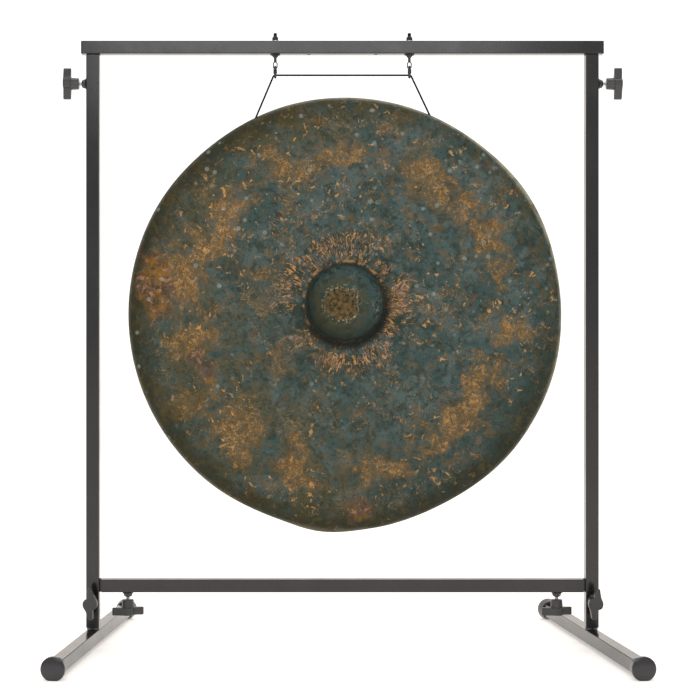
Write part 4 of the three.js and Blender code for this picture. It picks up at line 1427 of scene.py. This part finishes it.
class MakeSnapHooks(bpy.types.Operator):
    """Snap hooks and their gates"""

    bl_idname = "gong_stand.snap_hooks"
    bl_label = "Snap hooks"

    def execute(self, context):
        for name, _ in SIDES:
            hook, gate = f"snap_hook_{name}", f"hook_gate_{name}"
            low, high = ends(hook)
            x = middle(hook).x
            wire = HOOK_WIRE / 2
            top = Vector((x, 0, high.z - wire - HOOK_TOP_RADIUS))
            bottom = Vector((x, 0, low.z + wire + HOOK_BOTTOM_RADIUS))
            rivet = Vector((x, -HOOK_BOTTOM_RADIUS, bottom.z + PIN_RISE))
            nose = Vector((x, -HOOK_TOP_RADIUS, top.z - NOSE_DROP))
            path = [rivet + UP * WIRE_OVER_PIN, *arc(bottom, BACK, UP, HOOK_BOTTOM_RADIUS, 180, 360, 20),
                    *arc(top, BACK, UP, HOOK_TOP_RADIUS, 0, 180, 24), nose]
            bm = swept(path, wire, 20)
            soften(bm, HOOK_EDGE, angle=70, segments=2)
            hole = moved(pin(PIN_RADIUS + JOINT_GAP, -HOOK_WIRE, HOOK_WIRE), placed(rivet, RIGHT, UP))
            bm = combined(bm, [hole], "DIFFERENCE")
            dress(hook, bm, dull_zinc(), "hung_gong")
            self.gate(gate, name, rivet, nose)
        return {"FINISHED"}

    def gate(self, node, name, rivet, nose):
        """A folded strip, open to the front, on a rivet"""
        lean = math.atan2(rivet.y - nose.y, nose.z - rivet.z)
        bottom = -PIN_RADIUS - PIN_EDGE
        top = (nose.z - rivet.z) / math.cos(lean) + GATE_OVERLAP
        bm = bmesh.new()
        half = GATE_WIDTH / 2
        front = GATE_BACK - GATE_DEPTH
        corners = [(-half, front), (-half, GATE_BACK), (half, GATE_BACK), (half, front),
                   (half - GATE_WALL, front), (half - GATE_WALL, GATE_BACK - GATE_WALL),
                   (-half + GATE_WALL, GATE_BACK - GATE_WALL), (-half + GATE_WALL, front)]
        verts = [bm.verts.new((x, y, 0)) for x, y in corners]
        bm.faces.new(verts)
        bmesh.ops.bevel(bm, geom=[verts[1], verts[2]], offset=GATE_BEND, segments=5, profile=0.5,
                        affect="VERTICES", material=-1)
        raise_faces(bm, top - bottom)
        soften(bm, GATE_EDGE, angle=60, segments=2)
        shifted(bm, z=bottom)
        rod = pin(PIN_RADIUS, -half, half)
        soften(rod, PIN_ROUND, angle=60, segments=2)
        bm = combined(bm, [moved(rod, placed(Vector(), RIGHT, UP))], "UNION")
        moved(bm, Matrix.Translation(rivet) @ Matrix.Rotation(lean, 4, "X"))
        dress(node, bm, dull_zinc(), f"gate_{name}")


def rim_lump(angle):
    """How far the rim swells, as a share of its radius, at an angle from +X"""
    total = 0
    for place, width, share in RIM_LUMP_SHARES:
        turn = angle - math.radians(place)
        away = abs(math.atan2(math.sin(turn), math.cos(turn))) / math.radians(width)
        total += share * (1 + math.cos(math.pi * min(away, 1))) / 2
    return total


def cord_bend(name, sign):
    """The cord's bend round the hook's lower wire, and the place where it enters the gong's rim"""
    low, _ = ends(f"snap_hook_{name}")
    centre = Vector((middle(f"snap_hook_{name}").x, 0, low.z + HOOK_WIRE / 2))
    angle = math.radians(90 - sign * CORD_HOLE_DEGREES[name])
    rise = GONG_FACE_FRONT / GONG_SHOULDER - 1
    radius = GONG_RADIUS - GONG_SHOULDER * (1 - math.sqrt(1 - rise * rise))
    radius *= 1 + rim_lump(angle)
    hole = GONG_CENTRE + Vector((math.cos(angle), 0, math.sin(angle))) * radius
    reach = hole - centre
    leaving = math.degrees(math.atan2(reach.z, reach.x) + sign * math.acos(CORD_BEND / reach.length)) % 360
    return arc(centre, RIGHT, UP, CORD_BEND, 90, leaving, 10), hole


class MakeCord(bpy.types.Operator):
    """The cord over both hooks, with a knot inside the rim at each end"""

    bl_idname = "gong_stand.cord"
    bl_label = "Cord"

    def execute(self, context):
        left, right = (self.side(name, sign) for name, sign in SIDES)
        path = [*left[::-1], *self.level(left[0], right[0]), *right]
        bm = swept(path, CORD_RADIUS, 16, laid=True)
        knots = [self.knot(left[-1]), self.knot(right[-1])]
        for knot in knots:
            mesh = bpy.data.meshes.new("knot")
            knot.to_mesh(mesh)
            knot.free()
            bm.from_mesh(mesh)
            bpy.data.meshes.remove(mesh)
        dress("cord", bm, braided_cord(), "hung_gong", sharp=60, weighted=False)
        return {"FINISHED"}

    def side(self, name, sign):
        """From the top of the hook's lower wire round it and down to the knot"""
        bend, hole = cord_bend(name, sign)
        ahead = (hole - bend[-1]).normalized()
        inwards = (GONG_CENTRE - hole).normalized()
        knot = hole + ahead * (GONG_WALL + KNOT_RADIUS + KNOT_STAND_OFF) / ahead.dot(inwards)
        count = 24
        return bend + [bend[-1].lerp(knot, step / count) for step in range(1, count + 1)]

    def level(self, start, end):
        count = 60
        return [start.lerp(end, step / count) for step in range(1, count)]

    def knot(self, at):
        """A knot as a fat lumpy turn of the cord"""
        points, steps = [], 39
        for step in range(steps + 1):
            angle = 2 * math.pi * KNOT_TURNS * step / steps
            points.append(at + Vector((KNOT_SWELL * math.cos(angle) * KNOT_FLATNESS,
                                       KNOT_SWELL * math.sin(angle), (step / steps - 0.5) * KNOT_LENGTH)))
        return swept(points, CORD_RADIUS, 14, laid=True)


def risen(value, start, width):
    """0 at the start and 1 past the width, which may run down"""
    return min(max((value - start) / width, 0), 1)


def eased(share):
    return share * share * (3 - 2 * share)


def density(place, shares):
    """How strongly the marks of a table cover a place on the gong"""
    bare = 1
    for right, up, half_right, half_up, strength in shares:
        reach = math.hypot((place.x - right) / half_right, (place.z - up) / half_up)
        bare *= 1 - strength * eased(risen(reach, MARK_REACH, -MARK_FADE))
    return 1 - bare


class MakeGong(bpy.types.Operator):
    """The bossed gong with its turned-back rim"""

    bl_idname = "gong_stand.gong"
    bl_label = "Gong"

    def execute(self, context):
        profile = self.skin(0) + self.skin(GONG_WALL)[::-1]
        bm = spun(profile, 256)
        moved(bm, Matrix.Rotation(-math.pi / 2, 4, "X"))
        self.beat(bm)
        moved(bm, Matrix.Translation(GONG_CENTRE - BACK * GONG_FACE_FRONT))
        bm = combined(bm, [self.drill(name, sign) for name, sign in SIDES], "DIFFERENCE")
        self.mark(bm)
        dress("gong", bm, patina_bronze(), "hung_gong", sharp=50, weighted=False)
        return {"FINISHED"}

    def skin(self, offset):
        """Radius and depth behind the face, from the crown of the boss out and back along the rim"""
        line = []
        boss_steps = 24
        for step in range(boss_steps + 1):
            angle = BOSS_ANGLE * step / boss_steps
            line.append(((BOSS_RADIUS - offset) * math.sin(angle),
                         -GONG_DOME - (BOSS_HEIGHT - offset) * math.cos(angle)))
        start = (BOSS_RADIUS + BOSS_FOOT * (1 - offset / GONG_WALL), offset - GONG_DOME)
        middle_point = ((BOSS_RADIUS + GONG_RADIUS) / 2, offset - GONG_DOME * DOME_MIDDLE_SHARE)
        end = (GONG_RADIUS - GONG_SHOULDER, offset)
        face_steps = 44
        for step in range(face_steps):
            share = step / face_steps
            radius = start[0] + (end[0] - start[0]) * share
            bulge = 4 * share * (1 - share) * (middle_point[1] - (start[1] + end[1]) / 2)
            line.append((radius, start[1] + (end[1] - start[1]) * share + bulge))
        shoulder_steps = 12
        for step in range(shoulder_steps + 1):
            angle = SHOULDER_ANGLE * step / shoulder_steps
            line.append((GONG_RADIUS - GONG_SHOULDER + (GONG_SHOULDER - offset) * math.sin(angle),
                         GONG_SHOULDER - (GONG_SHOULDER - offset) * math.cos(angle)))
        rim_steps = 14
        for step in range(1, rim_steps + 1):
            share = step / rim_steps
            depth = GONG_SHOULDER + (GONG_RIM_DEPTH - GONG_SHOULDER) * share
            line.append((GONG_RADIUS - offset - GONG_RIM_INSET * share ** RIM_CURVE, depth))
        return line

    def drill(self, name, sign):
        """A pin on the cord's line, which cuts the cord's hole in the rim"""
        bend, hole = cord_bend(name, sign)
        cutter = pin(CORD_RADIUS + CORD_HOLE_GAP, -CORD_HOLE_REACH, CORD_HOLE_REACH)
        return moved(cutter, placed(hole, (hole - bend[-1]).normalized(), BACK))

    def mark(self, bm):
        """Keeps how much cloud and patch each place has, for the finish to read"""
        layer = bm.verts.layers.float_color.new("marks")
        for vert in bm.verts:
            place = (vert.co - GONG_CENTRE) / GONG_RADIUS
            vert[layer] = (density(place, CLOUD_SHARES), density(place, PATCH_SHARES), 0, 1)

    def beat(self, bm):
        """Lifts the boss, makes the rim uneven and dents the face"""
        low, high = LIFT_SHARES
        dent, sway = sizes().dent_depth, sizes().sway_depth
        for vert in bm.verts:
            x, z = vert.co.x, vert.co.z
            share = min(math.hypot(x, z) / GONG_RADIUS, 1)
            grown = 1 + rim_lump(math.atan2(z, x)) * share * share
            lift = BOSS_LIFT * (1 - eased(risen(share, low, high - low)))
            flat = Vector((x, 0, z))
            on_face = risen(share, *BEATEN_FADES[0]) * risen(share, *BEATEN_FADES[1])
            push = (noise.noise(flat * SWAYS_PER_METRE) * sway
                    + noise.noise(flat * DENTS_PER_METRE + UP) * dent)
            vert.co = Vector((x * grown, vert.co.y + push * on_face, z * grown + lift))


OPERATORS = (
    MakeStage, MakeCord, MakeTubes, MakeFootStubs, MakeSeamWelds, MakeWeldNuts, MakeKnobs, MakeScrews,
    MakeEndCaps, MakeEyeBolts, MakeSnapHooks, MakeGong,
)


class GongStandPanel(bpy.types.Panel):
    """Lists the sizes, the colours and the pieces"""

    bl_idname = "VIEW3D_PT_gong_stand"
    bl_label = "Gong Stand"
    bl_space_type = "VIEW_3D"
    bl_region_type = "UI"
    bl_category = "Gong Stand"

    def draw(self, context):
        for settings in (context.scene.gong_stand_sizes, context.scene.gong_stand_colours):
            for name in settings.__annotations__:
                self.layout.prop(settings, name)
        for operator in OPERATORS:
            self.layout.operator(operator.bl_idname)


CLASSES = (GongStandSizes, GongStandColours, *OPERATORS, GongStandPanel)


def register():
    for item in CLASSES:
        bpy.utils.register_class(item)
    bpy.types.Scene.gong_stand_sizes = bpy.props.PointerProperty(type=GongStandSizes)
    bpy.types.Scene.gong_stand_colours = bpy.props.PointerProperty(type=GongStandColours)


def unregister():
    del bpy.types.Scene.gong_stand_colours
    del bpy.types.Scene.gong_stand_sizes
    for item in reversed(CLASSES):
        bpy.utils.unregister_class(item)


def main():
    register()
    for operator in OPERATORS:
        group, name = operator.bl_idname.split(".")
        getattr(getattr(bpy.ops, group), name)()


if __name__ == "__main__":
    main()
